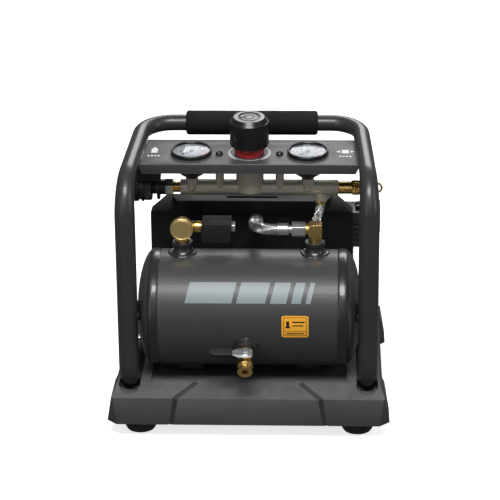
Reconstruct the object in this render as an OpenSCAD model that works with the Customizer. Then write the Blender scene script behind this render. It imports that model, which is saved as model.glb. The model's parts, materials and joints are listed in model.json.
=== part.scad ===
// Portable oil-free air compressor: sled base, front tank, tube frame with handle, control panel, pump unit.
// Millimetres. X is the width, Y the depth (front is -Y), Z is up. Origin: middle of the footprint, on the floor.

/* [Frame] */
// Outside diameter of the two leg tubes
leg_d = 25.4; // [24:0.2:26]
// Outside diameter of the handle tube
rail_d = 21; // [20:0.5:22]
// Distance between the two leg centres
leg_span = 300; // [298:1:304]
// Distance from the leg ends to the handle crossbar, along the rails
handle_reach = 134; // [130:1:137]
// Length of the foam grip
grip_len = 171; // [120:1:180]
// Diameter of the foam grip
grip_d = 31.5; // [28:0.5:34]

/* [Tank] */
// Outside diameter of the tank
tank_d = 148; // [146:0.5:149]
// Length of the straight part of the tank
tank_straight = 242; // [236:1:242]
// Depth of each domed end
dome_depth = 21; // [16:0.5:21]

/* [Base] */
// Width of the base at the floor edge
base_w = 357; // [354:1:366]
// Depth of the base at the floor edge
base_depth = 330; // [326:1:336]
// Height of the top of the base rim
base_top = 67; // [66:0.5:68]
// Diameter of each rubber foot
foot_d = 40; // [32:1:42]

/* [Controls] */
// Tilt of the panel and handle rails above the horizontal
panel_tilt = 7; // [6.5:0.1:7.5]
// Outside diameter of the gauge bezels
gauge_d = 52; // [48:0.5:54]
// Distance of each gauge from the middle
gauge_x = 73.5; // [70:0.5:76]
// Width of the regulator knob across its flats
knob_d = 48; // [42:0.5:50]
// Height of the regulator knob
knob_h = 37; // [34:0.5:40]

/* [Hidden] */
$fn = 48;
STEP = 0.01;              // overlap that keeps cuts clean
CLEAR = 0.3;              // gap between parts that move past each other
RUN = 0.05;               // radial clearance of a running fit

leg_r = leg_d / 2;
rail_r = rail_d / 2;
tube_wall = 1.5;
leg_x = leg_span / 2;
leg_y = -140;
low_bend = 30;            // centre-line radius of the bend at the foot of a leg
top_bend = 45;            // centre-line radius of the bend at the head of a leg
run_z = 66;               // height of the tube run that lies in the base
run_end = 150;            // where the run ends at the back
bend_z = 291.3;            // height where the head bend starts
lean_in = 3.2;            // how far each rail turns inward, in degrees
neck = 14;                // straight end of a leg after the head bend
bend_turn = 90 - panel_tilt;
corner_r = 40;

tank_r = tank_d / 2;
tank_y = -80;
tank_z = 147;
tank_wall = 2.5;
crown_z = tank_z + tank_r;
check_x = -84;            // check valve and unloader, on the tank's left
tee_x = 83;               // delivery tee, on the tank's right
port_z = 252;             // height of the valve and tee centres
bung_top = 236;
drain_angle = 23;         // how far below the horizontal the drain points
drain_x = -2;

base_floor = 20;
facet_z = 54;
pocket_floor = 36;
tray_floor = 62;
foot_x = 138;
foot_y = 130;

panel_y = -40;
panel_z = 340;
panel_front = -36;
panel_back = 40;
panel_t = 2;
flange_h = 13;
bar_w = -48;              // height of the manifold axis under the panel face
bar_r = 10;
bezel_h = 5;
boss_top = -32;
post_x = 38;
knob_base = 12.5;
ring_h = 11.5;
knob_lift = 4;

shroud_x = 131.5;
shroud_front_y = 5;
shroud_back_y = 30;
shroud_top = 260.5;
cover_wall = 2.5;
cover_back = 168;
cover_x = 126;

motor_y = 90;
motor_z = 108;
motor_r = 46;
motor_end = 71;
shaft_r = 6;
head_x0 = 80;
head_x1 = 150;
crank_x = 103;            // middle of the eccentric
crank_throw = 6;
gland_y = 190;            // rearmost point, level with the front of the drain valve

// ---------- helpers ----------
module both_sides() { children(); mirror([1, 0, 0]) children(); }
module at_control() { translate([0, panel_y, panel_z]) rotate([panel_tilt, 0, 0]) children(); }
module at_drain() { translate([drain_x, tank_y, tank_z]) rotate([90 + drain_angle, 0, 0]) children(); }
module along_x(x0, x1) { translate([x0, 0, 0]) rotate([0, 90, 0]) linear_extrude(x1 - x0) children(); }
module along_y(y0, y1) { translate([0, y1, 0]) rotate([90, 0, 0]) linear_extrude(y1 - y0) children(); }
module rod_x(x0, x1, r) { along_x(x0, x1) circle(r); }
module rod_y(y0, y1, r) { along_y(y0, y1) circle(r); }
module hex_x(x0, x1, flats) { along_x(x0, x1) circle(flats / 2 / cos(30), $fn = 6); }
module box(lo, hi) { translate(lo) cube(hi - lo); }
module ring(r_out, r_in) { difference() { circle(r_out); circle(r_in); } }
module dome_head(r, h) {
  intersection() { translate([0, 0, h - r * 1.3]) sphere(r * 1.3); cylinder(h = h, r = r); }
}

// A pipe through stations [centre, side, heading, radius], side and heading being unit vectors, as one closed
// polyhedron. With a wall of 0 it is solid.
function station_ring(st, r, sides) = let (u = cross(st[2], st[1]))
  [for (k = [0:sides - 1]) let (a = k * 360 / sides) st[0] + r * (cos(a) * st[1] + sin(a) * u)];
function ring_walls(first, rings, sides) = [for (i = [0:rings - 2], k = [0:sides - 1])
  let (a = first + i * sides + k, b = first + i * sides + (k + 1) % sides)
    each [[a, b, b + sides], [a, b + sides, a + sides]]];
function turned(faces) = [for (f = faces) [for (i = [len(f) - 1:-1:0]) f[i]]];
module pipe_sweep(stations, wall, sides) {
  rings = len(stations);
  last = (rings - 1) * sides;
  inner = rings * sides;
  outside = [for (st = stations) each station_ring(st, st[3], sides)];
  if (wall == 0)
    polyhedron(outside, concat(ring_walls(0, rings, sides), [[for (k = [sides - 1:-1:0]) k]],
      [[for (k = [0:sides - 1]) last + k]]), convexity = 6);
  else
    polyhedron(concat(outside, [for (st = stations) each station_ring(st, st[3] - wall, sides)]),
      concat(ring_walls(0, rings, sides), turned(ring_walls(inner, rings, sides)),
        [for (k = [0:sides - 1]) let (n = (k + 1) % sides) [n, k, inner + k, inner + n]],
        [for (k = [0:sides - 1]) let (n = (k + 1) % sides) [last + k, last + n, inner + last + n, inner + last + k]]),
      convexity = 6);
}

// stations along a cubic curve p
function curve(p, t) = pow(1 - t, 3) * p[0] + 3 * t * pow(1 - t, 2) * p[1] + 3 * t * t * (1 - t) * p[2]
  + pow(t, 3) * p[3];
function unit(v) = v / norm(v);
function heading(p, t) = unit(curve(p, min(1, t + 0.01)) - curve(p, max(0, t - 0.01)));
function curve_stations(p, r, rings, up) = [for (i = [0:rings]) let (h = heading(p, i / rings))
  [curve(p, i / rings), unit(cross(h, up)), h, r]];

// ---------- base ----------
module yz_prism(x0, x1, pts) {
  translate([x0, 0, 0]) rotate([0, 90, 0]) linear_extrude(x1 - x0) polygon([for (p = pts) [-p[1], p[0]]]);
}
module xz_prism(y0, y1, pts) {
  translate([0, y1, 0]) rotate([90, 0, 0]) linear_extrude(y1 - y0) polygon(pts);
}
// outline of a sled side: half width at the floor edge, narrowing at the facet and again at the rim
function sled(half, lean, rim) = [[-half, base_floor], [-half + lean, facet_z], [-half + rim, base_top],
  [half - rim, base_top], [half - lean, facet_z], [half, base_floor]];

module base_solid() {
  w = base_w / 2;
  d = base_depth / 2;
  c = 13;
  waist = 100;
  inset = 9;
  intersection() {
    yz_prism(-w, w, sled(d, 5, 27));
    xz_prism(-d, d, sled(w, 6, 13));
    // the sides are waisted between the corners
    translate([0, 0, base_floor]) linear_extrude(base_top) polygon([[-w, -d + c], [-w + c, -d], [w - c, -d],
      [w, -d + c], [w, -waist - 10], [w - inset, -waist], [w - inset, waist], [w, waist + 10], [w, d - c],
      [w - c, d], [-w + c, d], [-w, d - c], [-w, waist + 10], [-w + inset, waist], [-w + inset, -waist],
      [-w, -waist - 10]]);
  }
}

// the two slanted style grooves in the front facets
module front_groove() {
  bar = 6;
  depth = 2.2;
  d = base_depth / 2;
  translate([94, -d - 3, base_floor - 1]) rotate([0, -9.7, 0]) rotate([-8.4, 0, 0])
    cube([bar, 3 + depth, facet_z - base_floor + 3]);
  translate([91.2, -d + 5, facet_z]) rotate([30.6, 0, 0]) rotate([0, 0, 136]) translate([-1, -bar / 2, -depth])
    cube([50, bar, 6]);
}

module base_tray() color("#3c3c3e") {
  difference() {
    union() {
      difference() {
        base_solid();
        // hollow underside round the pocket
        difference() {
          box([-170, -155, base_floor - 1], [170, 155, 46]);
          box([-122, -122, pocket_floor - 6], [122, 148, 47]);
        }
      }
      for (x = [-foot_x, foot_x], y = [-foot_y, foot_y]) translate([x, y, base_floor]) cylinder(h = 27, r = 11);
    }
    // shallow tray under the tank, stepped pocket under the pump
    box([-124, -129, tray_floor], [124, 154, base_top + 1]);
    box([-121, -34, 54], [121, 150, tray_floor + 1]);
    box([-118, -30, pocket_floor], [118, 146, 55]);
    // channels for the leg tubes
    both_sides() {
      translate([leg_x, 0, run_z]) rod_y(leg_y, run_end + 30, leg_r + 0.4);
      translate([leg_x, leg_y, run_z - 9]) cylinder(h = 30, r = leg_r + 1.2);
      for (y = [-20, 110]) translate([132, y, 50]) cylinder(h = 20, r = 2);
      front_groove();
    }
    for (x = [-foot_x, foot_x], y = [-foot_y, foot_y]) translate([x, y, base_floor - 1]) cylinder(h = 20, r = 2.5);
  }
}

module rubber_feet() color("#1a1a1a") {
  for (x = [-foot_x, foot_x], y = [-foot_y, foot_y]) translate([x, y, 0]) difference() {
    union() {
      cylinder(h = 5, r1 = foot_d / 2 - 3, r2 = foot_d / 2);
      translate([0, 0, 5]) cylinder(h = base_floor - 5, r = foot_d / 2);
    }
    translate([0, 0, -1]) cylinder(h = 7, r = 7);
    cylinder(h = base_floor + 1, r = 3);
  }
}

module base_screws() color("#9a9a9c") {
  for (x = [-foot_x, foot_x], y = [-foot_y, foot_y]) translate([x, y, 6]) {
    translate([0, 0, -4]) cylinder(h = 4, r = 5);
    cylinder(h = 30, r = 2.45);
  }
  both_sides() for (y = [-20, 110]) translate([132, y, base_top + 2]) {
    dome_head(3.6, 2.6);
    translate([0, 0, -14]) cylinder(h = 14, r = 1.95);
  }
}

// ---------- tube frame ----------
neck_y = top_bend * (1 - cos(bend_turn)) + neck * sin(bend_turn);
neck_z = bend_z + top_bend * sin(bend_turn) + neck * cos(bend_turn);
joint_x = leg_x - sin(lean_in) * neck_y;
joint_y = leg_y + cos(lean_in) * neck_y;
hoop_tilt = atan2(cos(bend_turn), cos(lean_in) * sin(bend_turn));
hoop_lean = asin(sin(lean_in) * sin(bend_turn));
rail_len = (handle_reach - corner_r + corner_r * sin(hoop_lean)) / cos(hoop_lean);
corner_x = joint_x - rail_len * sin(hoop_lean) - corner_r * cos(hoop_lean);
module at_hoop() { translate([0, joint_y, neck_z]) rotate([hoop_tilt, 0, 0]) children(); }

bracket_z = 157;
bend_steps = 9;
pipe_sides = 20;
// the path of the right leg: run in the base, foot bend, upright, head bend turned inward and narrowing, end
function inward(v) = [v[0] * cos(lean_in) - v[1] * sin(lean_in), v[0] * sin(lean_in) + v[1] * cos(lean_in), v[2]];
leg_path = concat(
  [[[0, run_end - leg_y, run_z], [1, 0, 0], [0, -1, 0], leg_r]],
  [for (i = [0:bend_steps]) let (a = 90 - i * 90 / bend_steps)
    [[0, low_bend * (1 - cos(a)), run_z + low_bend * (1 - sin(a))], [1, 0, 0], [0, -sin(a), cos(a)], leg_r]],
  [for (i = [0:bend_steps]) let (a = i * bend_turn / bend_steps)
    [inward([0, top_bend * (1 - cos(a)), bend_z + top_bend * sin(a)]), inward([1, 0, 0]),
      inward([0, sin(a), cos(a)]), leg_r + (rail_r - leg_r) * i / bend_steps]],
  [[inward([0, neck_y, neck_z]), inward([1, 0, 0]), inward([0, sin(bend_turn), cos(bend_turn)]), rail_r]]);
module leg_tube() { translate([leg_x, leg_y, 0]) pipe_sweep(leg_path, tube_wall, pipe_sides); }
module right_leg_tube() color("#2b2b2d") leg_tube();
module left_leg_tube() color("#2b2b2d") mirror([1, 0, 0]) leg_tube();

// the path of the handle hoop, in its own plane, from the right joint to the left one
function hoop_corner(side) = [for (i = [0:bend_steps])
  let (a = hoop_lean + (90 - hoop_lean) * (side > 0 ? i : bend_steps - i) / bend_steps)
    [[side * (corner_x + corner_r * cos(a)), handle_reach - corner_r + corner_r * sin(a), 0], [0, 0, 1],
      [-sin(a), side * cos(a), 0], rail_r]];
hoop_path = concat(
  [[[joint_x, 0, 0], [0, 0, 1], [-sin(hoop_lean), cos(hoop_lean), 0], rail_r]], hoop_corner(1), hoop_corner(-1),
  [[[-joint_x, 0, 0], [0, 0, 1], [-sin(hoop_lean), -cos(hoop_lean), 0], rail_r]]);
module handle_tube() color("#333335") at_hoop() pipe_sweep(hoop_path, tube_wall, pipe_sides);

module foam_grip() color("#161616") at_hoop() translate([0, handle_reach, 0]) rotate([0, 90, 0]) {
  h = grip_len / 2;
  r = grip_d / 2;
  round_r = 3;
  edge = [for (a = [0:30:90]) [r - round_r + round_r * sin(a), h - round_r + round_r * cos(a)]];
  rotate_extrude() polygon(concat([[rail_r + 0.1, h]], edge, [for (i = [3:-1:0]) [edge[i][0], -edge[i][1]]],
    [[rail_r + 0.1, -h]]));
}

module leg_clamps() color("#8d8d90") both_sides() for (y = [-27, 103]) translate([0, y, 0]) {
  strap = 2;
  difference() {
    translate([leg_x, 0, run_z]) rod_y(0, 14, leg_r + strap);
    translate([leg_x, 0, run_z]) rod_y(-1, 15, leg_r);
    box([leg_x - 30, -1, run_z - 30], [leg_x + 30, 15, base_top]);
  }
  difference() {
    box([127, 0, base_top], [137, 14, base_top + strap]);
    translate([132, 7, base_top - 1]) cylinder(h = 4, r = 2);
  }
}

module tube_plugs() color("#1c1c1c") both_sides() translate([leg_x, 0, run_z]) {
  rod_y(run_end, run_end + 3, leg_r);
  rod_y(run_end - 12, run_end, leg_r - tube_wall - CLEAR);
}

// ---------- tank ----------
function dome_arc(r, depth, from, to) = [for (i = [0:9]) let (a = from + (to - from) * i / 9)
  [r * cos(a), (a < 0 ? -1 : 1) * tank_straight / 2 + depth * sin(a)]];
module tank_body(r, depth) {
  translate([0, tank_y, tank_z]) rotate([0, 90, 0])
    rotate_extrude() polygon(concat(dome_arc(r, depth, -90, -0.001), dome_arc(r, depth, 0, 90)));
}
module tank_cut() { translate([0, tank_y, tank_z]) rod_x(-150, 150, tank_r); }
module tank_ports(r) {
  for (x = [check_x, tee_x]) translate([x, tank_y, crown_z - 12]) cylinder(h = 40, r = r);
  at_drain() translate([0, 0, tank_r - 12]) cylinder(h = 40, r = r);
}

module tank_shell() color("#4a4a4c") difference() {
  tank_body(tank_r, dome_depth);
  tank_body(tank_r - tank_wall, dome_depth - tank_wall);
  tank_ports(7);
}

module weld_bands() color("#444446") both_sides() translate([0, tank_y, tank_z])
  rotate([0, 90, 0]) translate([0, 0, tank_straight / 2 - 8]) linear_extrude(8) ring(tank_r + 0.9, tank_r);

module tank_bungs() color("#202020") difference() {
  union() {
    for (x = [check_x, tee_x]) translate([x, tank_y, 0]) {
      translate([0, 0, crown_z - 5]) cylinder(h = bung_top - crown_z + 5, r = 13);
      translate([0, 0, crown_z - 4]) cylinder(h = 8, r1 = 18, r2 = 13);
    }
    at_drain() translate([0, 0, tank_r - 6]) cylinder(h = 14, r = 15);
  }
  tank_cut();
  tank_ports(7);
}

module tank_mounts() color("#3a3a3c") {
  for (x = [-75, 75]) difference() {
    box([x - 15, -92, tray_floor], [x + 15, -60, 90]);
    tank_cut();
  }
  both_sides() difference() {
    box([130, leg_y + leg_r, 146], [160, leg_y + leg_r + 3, 172]);
    tank_body(tank_r, dome_depth);
    translate([leg_x, 0, bracket_z + 8]) rod_y(leg_y, leg_y + 20, 3.05);
  }
}

module frame_bolts() color("#b9bbbd") both_sides() {
  translate([leg_x, leg_y, bracket_z]) {
    translate([-leg_r, 0, 0]) rotate([0, -90, 0]) dome_head(5.2, 2);
  }
  translate([leg_x, 0, bracket_z + 8]) {
    rod_y(leg_y + leg_r + 3, leg_y + leg_r + 7, 5);
    rod_y(leg_y + leg_r, leg_y + leg_r + 3, 3);
  }
}

// ---------- check valve and unloader ----------
valve_z = port_z + 3;
module check_valve_body() color("#c9a24f") difference() {
  union() {
    translate([check_x, tank_y, bung_top - 10]) cylinder(h = 20, r = 6.9);
    translate([check_x, tank_y, bung_top]) cylinder(h = 4, r = 9.5);
    translate([check_x, tank_y, bung_top]) cylinder(h = 12, r = 4.9);
    translate([check_x, 0, valve_z]) rod_y(-85, -68, 9.5);
    translate([0, tank_y, valve_z]) rod_x(check_x, -58.7, 7.4);
    translate([0, tank_y, valve_z]) rod_x(-58.7, -17, 5);
  }
  translate([check_x, 0, valve_z]) rod_y(-94, -85, 15);
  translate([check_x, 0, valve_z]) rod_y(-86, -74, 6);
  translate([check_x, 0, valve_z]) rod_y(-75, -70, 3.5);
  translate([check_x, tank_y, bung_top - 11]) cylinder(h = 26, r = 3.5);
}
module check_valve_cap() color("#d0a955") translate([check_x, 0, valve_z]) {
  rod_y(-93, -85, 14.7);
}
module check_poppet() color("#e8e4d8") translate([check_x, 0, valve_z]) {
  rod_y(-77, -74.05, 5.6);
  rod_y(-81, -77, 2);
}
module solenoid_coil() color("#161617") difference() {
  box([-58.7, -97, 239], [-22.3, -63, 264]);
  translate([0, tank_y, valve_z]) rod_x(-60, -20, 5.05);
}
module pipe_nuts() color("#c8cacc") {
  difference() {
    union() {
      translate([0, tank_y, valve_z]) hex_x(-22.3, -17, 13);
      translate([0, tank_y, port_z]) hex_x(54, 71, 18);
      at_control() translate([0, 0, bar_w]) hex_x(-107.5, -98, 20);
    }
    translate([0, tank_y, valve_z]) rod_x(-23, -16, 5.05);
    translate([0, tank_y, port_z]) rod_x(53, 72, 5.05);
    at_control() translate([0, 0, bar_w]) rod_x(-108, -97, 5.05);
  }
}

// ---------- delivery tee and hoses ----------
tee_back = -66;
module delivery_tee() color("#c9a24f") difference() {
  union() {
    box([75.5, -89, 244], [92, -73, 260]);
    translate([tee_x, tank_y, bung_top]) cylinder(h = 8, r = 8);
    translate([tee_x, tank_y, bung_top - 10]) cylinder(h = 12, r = 6.9);
    translate([0, tank_y, port_z]) {
      rod_x(71, 76, 7.5);
      rod_x(56, 72, 5);
    }
    translate([tee_x, 0, port_z]) rod_y(-74, tee_back, 6.5);
  }
  translate([tee_x, tank_y, bung_top - 11]) cylinder(h = 26, r = 3.5);
  translate([0, tank_y, port_z]) rod_x(55, tee_x, 3);
  translate([tee_x, 0, port_z]) rod_y(tank_y, tee_back + 1, 3);
}

hose_r = 7;
hose_start = [40, tank_y, port_z];
hose_end = [6, -4, 235];
hose_curve = [hose_start, [10, -82, 251], [0, -60, 250], hose_end];
module braided_hose() color("#a8a8a6") pipe_sweep(curve_stations(hose_curve, hose_r, 22, [0, 0, 1]), 0, 12);
module hose_ferrules() color("#b4b6b8") {
  difference() {
    translate([0, tank_y, port_z]) {
      rod_x(36, 50, 7.9);
      rod_x(50, 56, 5);
    }
    translate([0, tank_y, port_z]) rod_x(35, hose_start[0] + 0.2, 7.2);
  }
  difference() {
    translate([hose_end[0], 0, hose_end[2]]) rod_y(-9, shroud_front_y, 9.5);
    translate([hose_end[0], 0, hose_end[2] + 1]) rod_y(-10, hose_end[1] + 0.2, 8.4);
  }
}

feed_x = 89.5;
feed_drop = -69;
feed_top = [feed_x, panel_y - feed_drop * sin(panel_tilt), panel_z + feed_drop * cos(panel_tilt)];
feed_curve = [feed_top, feed_top + [0, 2, -16], [tee_x, tee_back + 18, port_z + 1], [tee_x, tee_back, port_z]];
module feed_hose() color("#2a2a2a") pipe_sweep(curve_stations(feed_curve, 5.4, 14, [1, 0, 0]), 0, 12);
module feed_collar() color("#caa24a") at_control() translate([feed_x, 0, feed_drop]) cylinder(h = 5, r = 7.6);

// ---------- manifold and regulator ----------
module manifold_bar() color("#6b655c") at_control() difference() {
  union() {
    translate([0, 0, bar_w]) rod_x(-88.5, 112, bar_r);
    translate([0, 0, bar_w - 2]) cylinder(h = 32, r = 17.5);
    translate([0, 0, bar_w - 10]) cylinder(h = 8, r1 = 5, r2 = 17.5);
    for (x = [-gauge_x, gauge_x]) translate([x, -4, bar_w + 3]) {
      sphere(7.8);
      cylinder(h = boss_top - bar_w - 3, r = 7.8);
    }
    for (x = [-post_x, post_x]) translate([x, -5, bar_w]) {
      cylinder(h = -bar_w - panel_t, r = 5.4);
      translate([0, 0, -2]) cylinder(h = 2, r1 = 2, r2 = 5.4);
    }
    translate([feed_x, 0, feed_drop + 5]) cylinder(h = -feed_drop - 5 + bar_w, r = 8.6);
  }
  translate([0, 0, bar_w]) rod_x(-89, 113, 5);
  translate([feed_x, 0, feed_drop]) cylinder(h = -feed_drop + bar_w, r = 3.5);
  for (x = [-post_x, post_x]) translate([x, -5, -14]) cylinder(h = 14, r = 1.95);
  for (x = [-gauge_x, gauge_x]) translate([x, -4, bar_w + 5]) cylinder(h = 12, r = 3.5);
}

module regulator_body() color("#222224") at_control() difference() {
  union() {
    translate([0, 0, bar_w + 30]) cylinder(h = -bar_w - 30 - panel_t, r = 17);
    translate([0, 0, -panel_t]) cylinder(h = panel_t + 8, r = 14.5);
    translate([0, 0, 8]) cylinder(h = 20, r = 9);
  }
  translate([0, 0, bar_w + 34]) cylinder(h = -bar_w - 34, r = 12);
  cylinder(h = 40, r = 4 + RUN);
}
module lock_ring() color("#b3121a") at_control() difference() {
  cylinder(h = ring_h, r = 18.6);
  translate([0, 0, -1]) cylinder(h = ring_h + 2, r = 14.6);
}
module regulator_stem() color("#b8babc") at_control() {
  translate([0, 0, -8]) cylinder(h = 46, r = 4);
}

knob_sides = 14;
module knob_prism(flats) {
  circle_r = flats / 2 / cos(180 / knob_sides);
  polygon([for (i = [0:knob_sides - 1]) let (a = (i + 0.5) * 360 / knob_sides + 90) circle_r * [cos(a), sin(a)]]);
}
module regulator_knob() color("#111112") at_control() translate([0, 0, knob_base]) difference() {
  union() {
    linear_extrude(knob_h - 6) knob_prism(knob_d);
    translate([0, 0, knob_h - 6]) cylinder(h = 6, r1 = knob_d / 2 - 0.4, r2 = knob_d / 2 - 4.5, $fn = 60);
  }
  translate([0, 0, -1]) cylinder(h = 23, r = 20.5);
  cylinder(h = knob_h - 8, r = 4 + RUN);
  translate([0, 0, knob_h - 1.2]) cylinder(h = 2, r = 14);
}

// ---------- control panel and gauges ----------
panel_half_front = 138.6;
panel_half_back = 137.5;
tab_x = 119.6;
module control_panel() color("#5d5d60") difference() {
  at_control() panel_sheet();
  // the ends are coped round the rails
  both_sides() at_hoop() translate([joint_x, 0, 0]) rotate([0, 0, hoop_lean]) rod_y(-6, handle_reach, rail_r + 0.35);
}
module panel_sheet() difference() {
  union() {
    translate([0, 0, -panel_t]) linear_extrude(panel_t) polygon([[-panel_half_front, panel_front],
      [panel_half_front, panel_front], [panel_half_back, panel_back], [-panel_half_back, panel_back]]);
    xz_prism(panel_front, panel_front + panel_t, [[-panel_half_front, -panel_t], [-panel_half_front + 5, -flange_h],
      [panel_half_front - 5, -flange_h], [panel_half_front, -panel_t]]);
    both_sides() {
      for (y = [-22, 24]) translate([tab_x, y - 6, -panel_t - 2]) cube([18, 12, 2]);
      for (y = [-22, 24]) translate([tab_x, y - 6, -panel_t - 12]) cube([2, 12, 12]);
    }
  }
  translate([0, 0, -panel_t - 1]) cylinder(h = panel_t + 2, r = 14.6);
  for (x = [-gauge_x, gauge_x]) translate([x, 0, -panel_t - 1]) cylinder(h = panel_t + 2, r = gauge_d / 2 - 2.5);
  for (x = [-post_x, post_x]) translate([x, -5, -panel_t - 1]) cylinder(h = panel_t + 2, r = 2);
}
module panel_screws() color("#19191a") at_control() for (x = [-post_x, post_x]) translate([x, -5, 0]) {
  dome_head(4.3, 3);
  translate([0, 0, -14]) cylinder(h = 14, r = 1.9);
}

module both_gauges() { at_control() for (x = [-gauge_x, gauge_x]) translate([x, 0, 0]) children(); }
module gauge_cases() color("#1b1b1c") both_gauges() difference() {
  union() {
    translate([0, 0, -19]) cylinder(h = 19, r = gauge_d / 2 - 3);
    translate([0, 0, -27]) cylinder(h = 8, r1 = 16, r2 = gauge_d / 2 - 3);
    translate([0, 0, boss_top]) cylinder(h = -27 - boss_top, r1 = 9, r2 = 16);
  }
  translate([0, 0, -16]) cylinder(h = 17, r = gauge_d / 2 - 5);
}
module gauge_bezels() color("#0f0f10") both_gauges() difference() {
  cylinder(h = bezel_h, r = gauge_d / 2);
  translate([0, 0, -1]) cylinder(h = bezel_h + 2, r = gauge_d / 2 - 3);
}
module gauge_dials() color("#e6e4dc") both_gauges() difference() {
  translate([0, 0, 0.4]) cylinder(h = 1, r = gauge_d / 2 - 3.1);
  cylinder(h = 5, r = 1.3);
}
module gauge_lenses() color([0.8, 0.85, 0.9, 0.35]) both_gauges()
  translate([0, 0, 3.6]) cylinder(h = 1, r = gauge_d / 2 - 3.1);
needle_start = 225;       // angle of the zero mark, from +X
module needle(x) {
  at_control() translate([x, 0, 0]) {
    translate([0, 0, -2]) cylinder(h = 4.6, r = 1.2);
    translate([0, 0, 1.8]) cylinder(h = 1, r = 2.6);
    translate([0, 0, 2]) rotate(needle_start) translate([-5, -0.6, 0]) cube([21, 1.2, 0.5]);
  }
}
module outlet_needle() color("#111111") needle(-gauge_x);
module tank_needle() color("#111111") needle(gauge_x);

// ---------- outlet, switch and safety valve, all on the manifold axis ----------
module on_bar() { at_control() translate([0, 0, bar_w]) children(); }
module outlet_nipple() color("#c49b45") on_bar() difference() {
  union() { rod_x(-98, -88.5, 6.5); rod_x(-110, -98, 5); }
  rod_x(-111, -88, 3);
}
module coupler_body() color("#1d1d1e") on_bar() difference() {
  union() {
    rod_x(-118.5, -107.5, 9.7);
    rod_x(-118, -115, 16);
    rod_x(-158, -118.5, 9);
    rod_x(-162, -158, 15);
  }
  rod_x(-163, -130, 5.6);
  rod_x(-131, -107, 5.05);
}
module coupler_sleeve() color("#202021") on_bar() difference() {
  union() { rod_x(-152, -125, 16.5); rod_x(-148, -142, 18.5); rod_x(-138, -135, 18.5); }
  rod_x(-153, -124, 9 + RUN);
}
module pressure_switch() color("#2a2a2c") on_bar() difference() {
  box([-146, -13, 12], [-112.5, 14, 27]);
  rod_x(-165, -100, 18.5 + CLEAR);
}
module safety_valve_body() color("#c9972f") on_bar() difference() {
  union() { rod_x(112, 129, 8); hex_x(129, 140, 17.5); rod_x(140, 152, 7.6); rod_x(104, 112, 5); }
  rod_x(103, 140, 3);
  rod_x(138, 153, 3.05);
}
module safety_pull() color("#d9a93a") on_bar() {
  rod_x(141, 156, 3);
  translate([161, 0, 0]) rotate([90, 0, 0]) rotate_extrude() translate([6.2, 0]) circle(1.4, $fn = 24);
}

// ---------- drain valve ----------
stem_at = 96;             // distance of the valve stem from the tank axis
stem_top = 17;
module drain_valve_body() color("#c9a24f") at_drain() difference() {
  union() {
    translate([0, 0, tank_r - 3]) cylinder(h = 12, r = 6.9);
    translate([0, 0, 82]) cylinder(h = 6, r = 9.8, $fn = 6);
    translate([0, 0, 86]) cylinder(h = 20, r = 9.6);
    translate([0, 0, 106]) cylinder(h = 3, r1 = 9.6, r2 = 7);
    translate([0, 0, 108]) cylinder(h = 6, r = 7);
    translate([0, 0, 113]) cylinder(h = 2.5, r = 9.4);
    translate([0, 0, stem_at]) rotate([-90, 0, 0]) cylinder(h = 12.5, r = 6);
  }
  translate([0, 0, tank_r - 4]) cylinder(h = 50, r = 3.4);
  translate([0, 0, 107]) cylinder(h = 12, r = 4);
  translate([0, 0, stem_at]) sphere(7 + RUN);
  translate([0, 0, stem_at]) rotate([-90, 0, 0]) cylinder(h = 14, r = 2.5 + RUN);
}
module drain_ball() color("#c8cacc") at_drain() translate([0, 0, stem_at]) {
  difference() {
    sphere(7);
    rod_x(-8, 8, 3.4);
  }
  rotate([-90, 0, 0]) translate([0, 0, 6.4]) cylinder(h = stem_top - 6.4, r = 2.5);
}
module drain_lever() color("#b9bbbd") at_drain() translate([0, 0, stem_at]) rotate([-90, 0, 0]) difference() {
  union() {
    translate([0, 0, 13]) linear_extrude(2) polygon([[-15, -4], [-8, -8], [7, -8], [9, -5], [9, 5], [7, 8],
      [-8, 8], [-15, 4]]);
    translate([-39, -4, 13]) cube([26, 8, 2]);
    translate([0, 0, 15]) cylinder(h = 4, r = 4.6, $fn = 6);
  }
  translate([0, 0, 12]) cylinder(h = stem_top - 12, r = 2.5);
}
module lever_sleeve() color("#141414") at_drain() translate([0, 0, stem_at]) rotate([-90, 0, 0]) difference() {
  union() {
    translate([-39, -5.5, 11.2]) cube([23, 11, 5.6]);
    translate([-39, 0, 11.2]) cylinder(h = 5.6, r = 5.5);
  }
  translate([-39, -4, 13]) cube([40, 8, 2]);
}

// ---------- shroud and rear cover ----------
module shroud_solid(t) {
  x = shroud_x - t;
  difference() {
    xz_prism(shroud_front_y + t, shroud_back_y, [[-x, base_top - t * 2], [-x, 244], [-112 + t * 0.6, shroud_top - t],
      [112 - t * 0.6, shroud_top - t], [x, 244], [x, base_top - t * 2]]);
    // the shoulders drop towards the front at both ends
    both_sides() translate([94 - t * 0.5, shroud_front_y, 247 - t * 1.2]) rotate([29, 0, 0]) rotate([0, 0, -22])
      translate([0, -10, 0]) cube([60, 60, 30]);
  }
}
module shroud_front() color("#1b1b1c") difference() {
  shroud_solid(0);
  difference() {
    translate([0, STEP, 0]) shroud_solid(cover_wall);
    box([-130, 0, 0], [130, 40, base_top + cover_wall]);
  }
  box([-33, 18, shroud_top - 3.5], [33, 40, shroud_top + 5]);
  translate([hose_end[0], 0, hose_end[2]]) rod_y(0, 10, 5);
}

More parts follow.
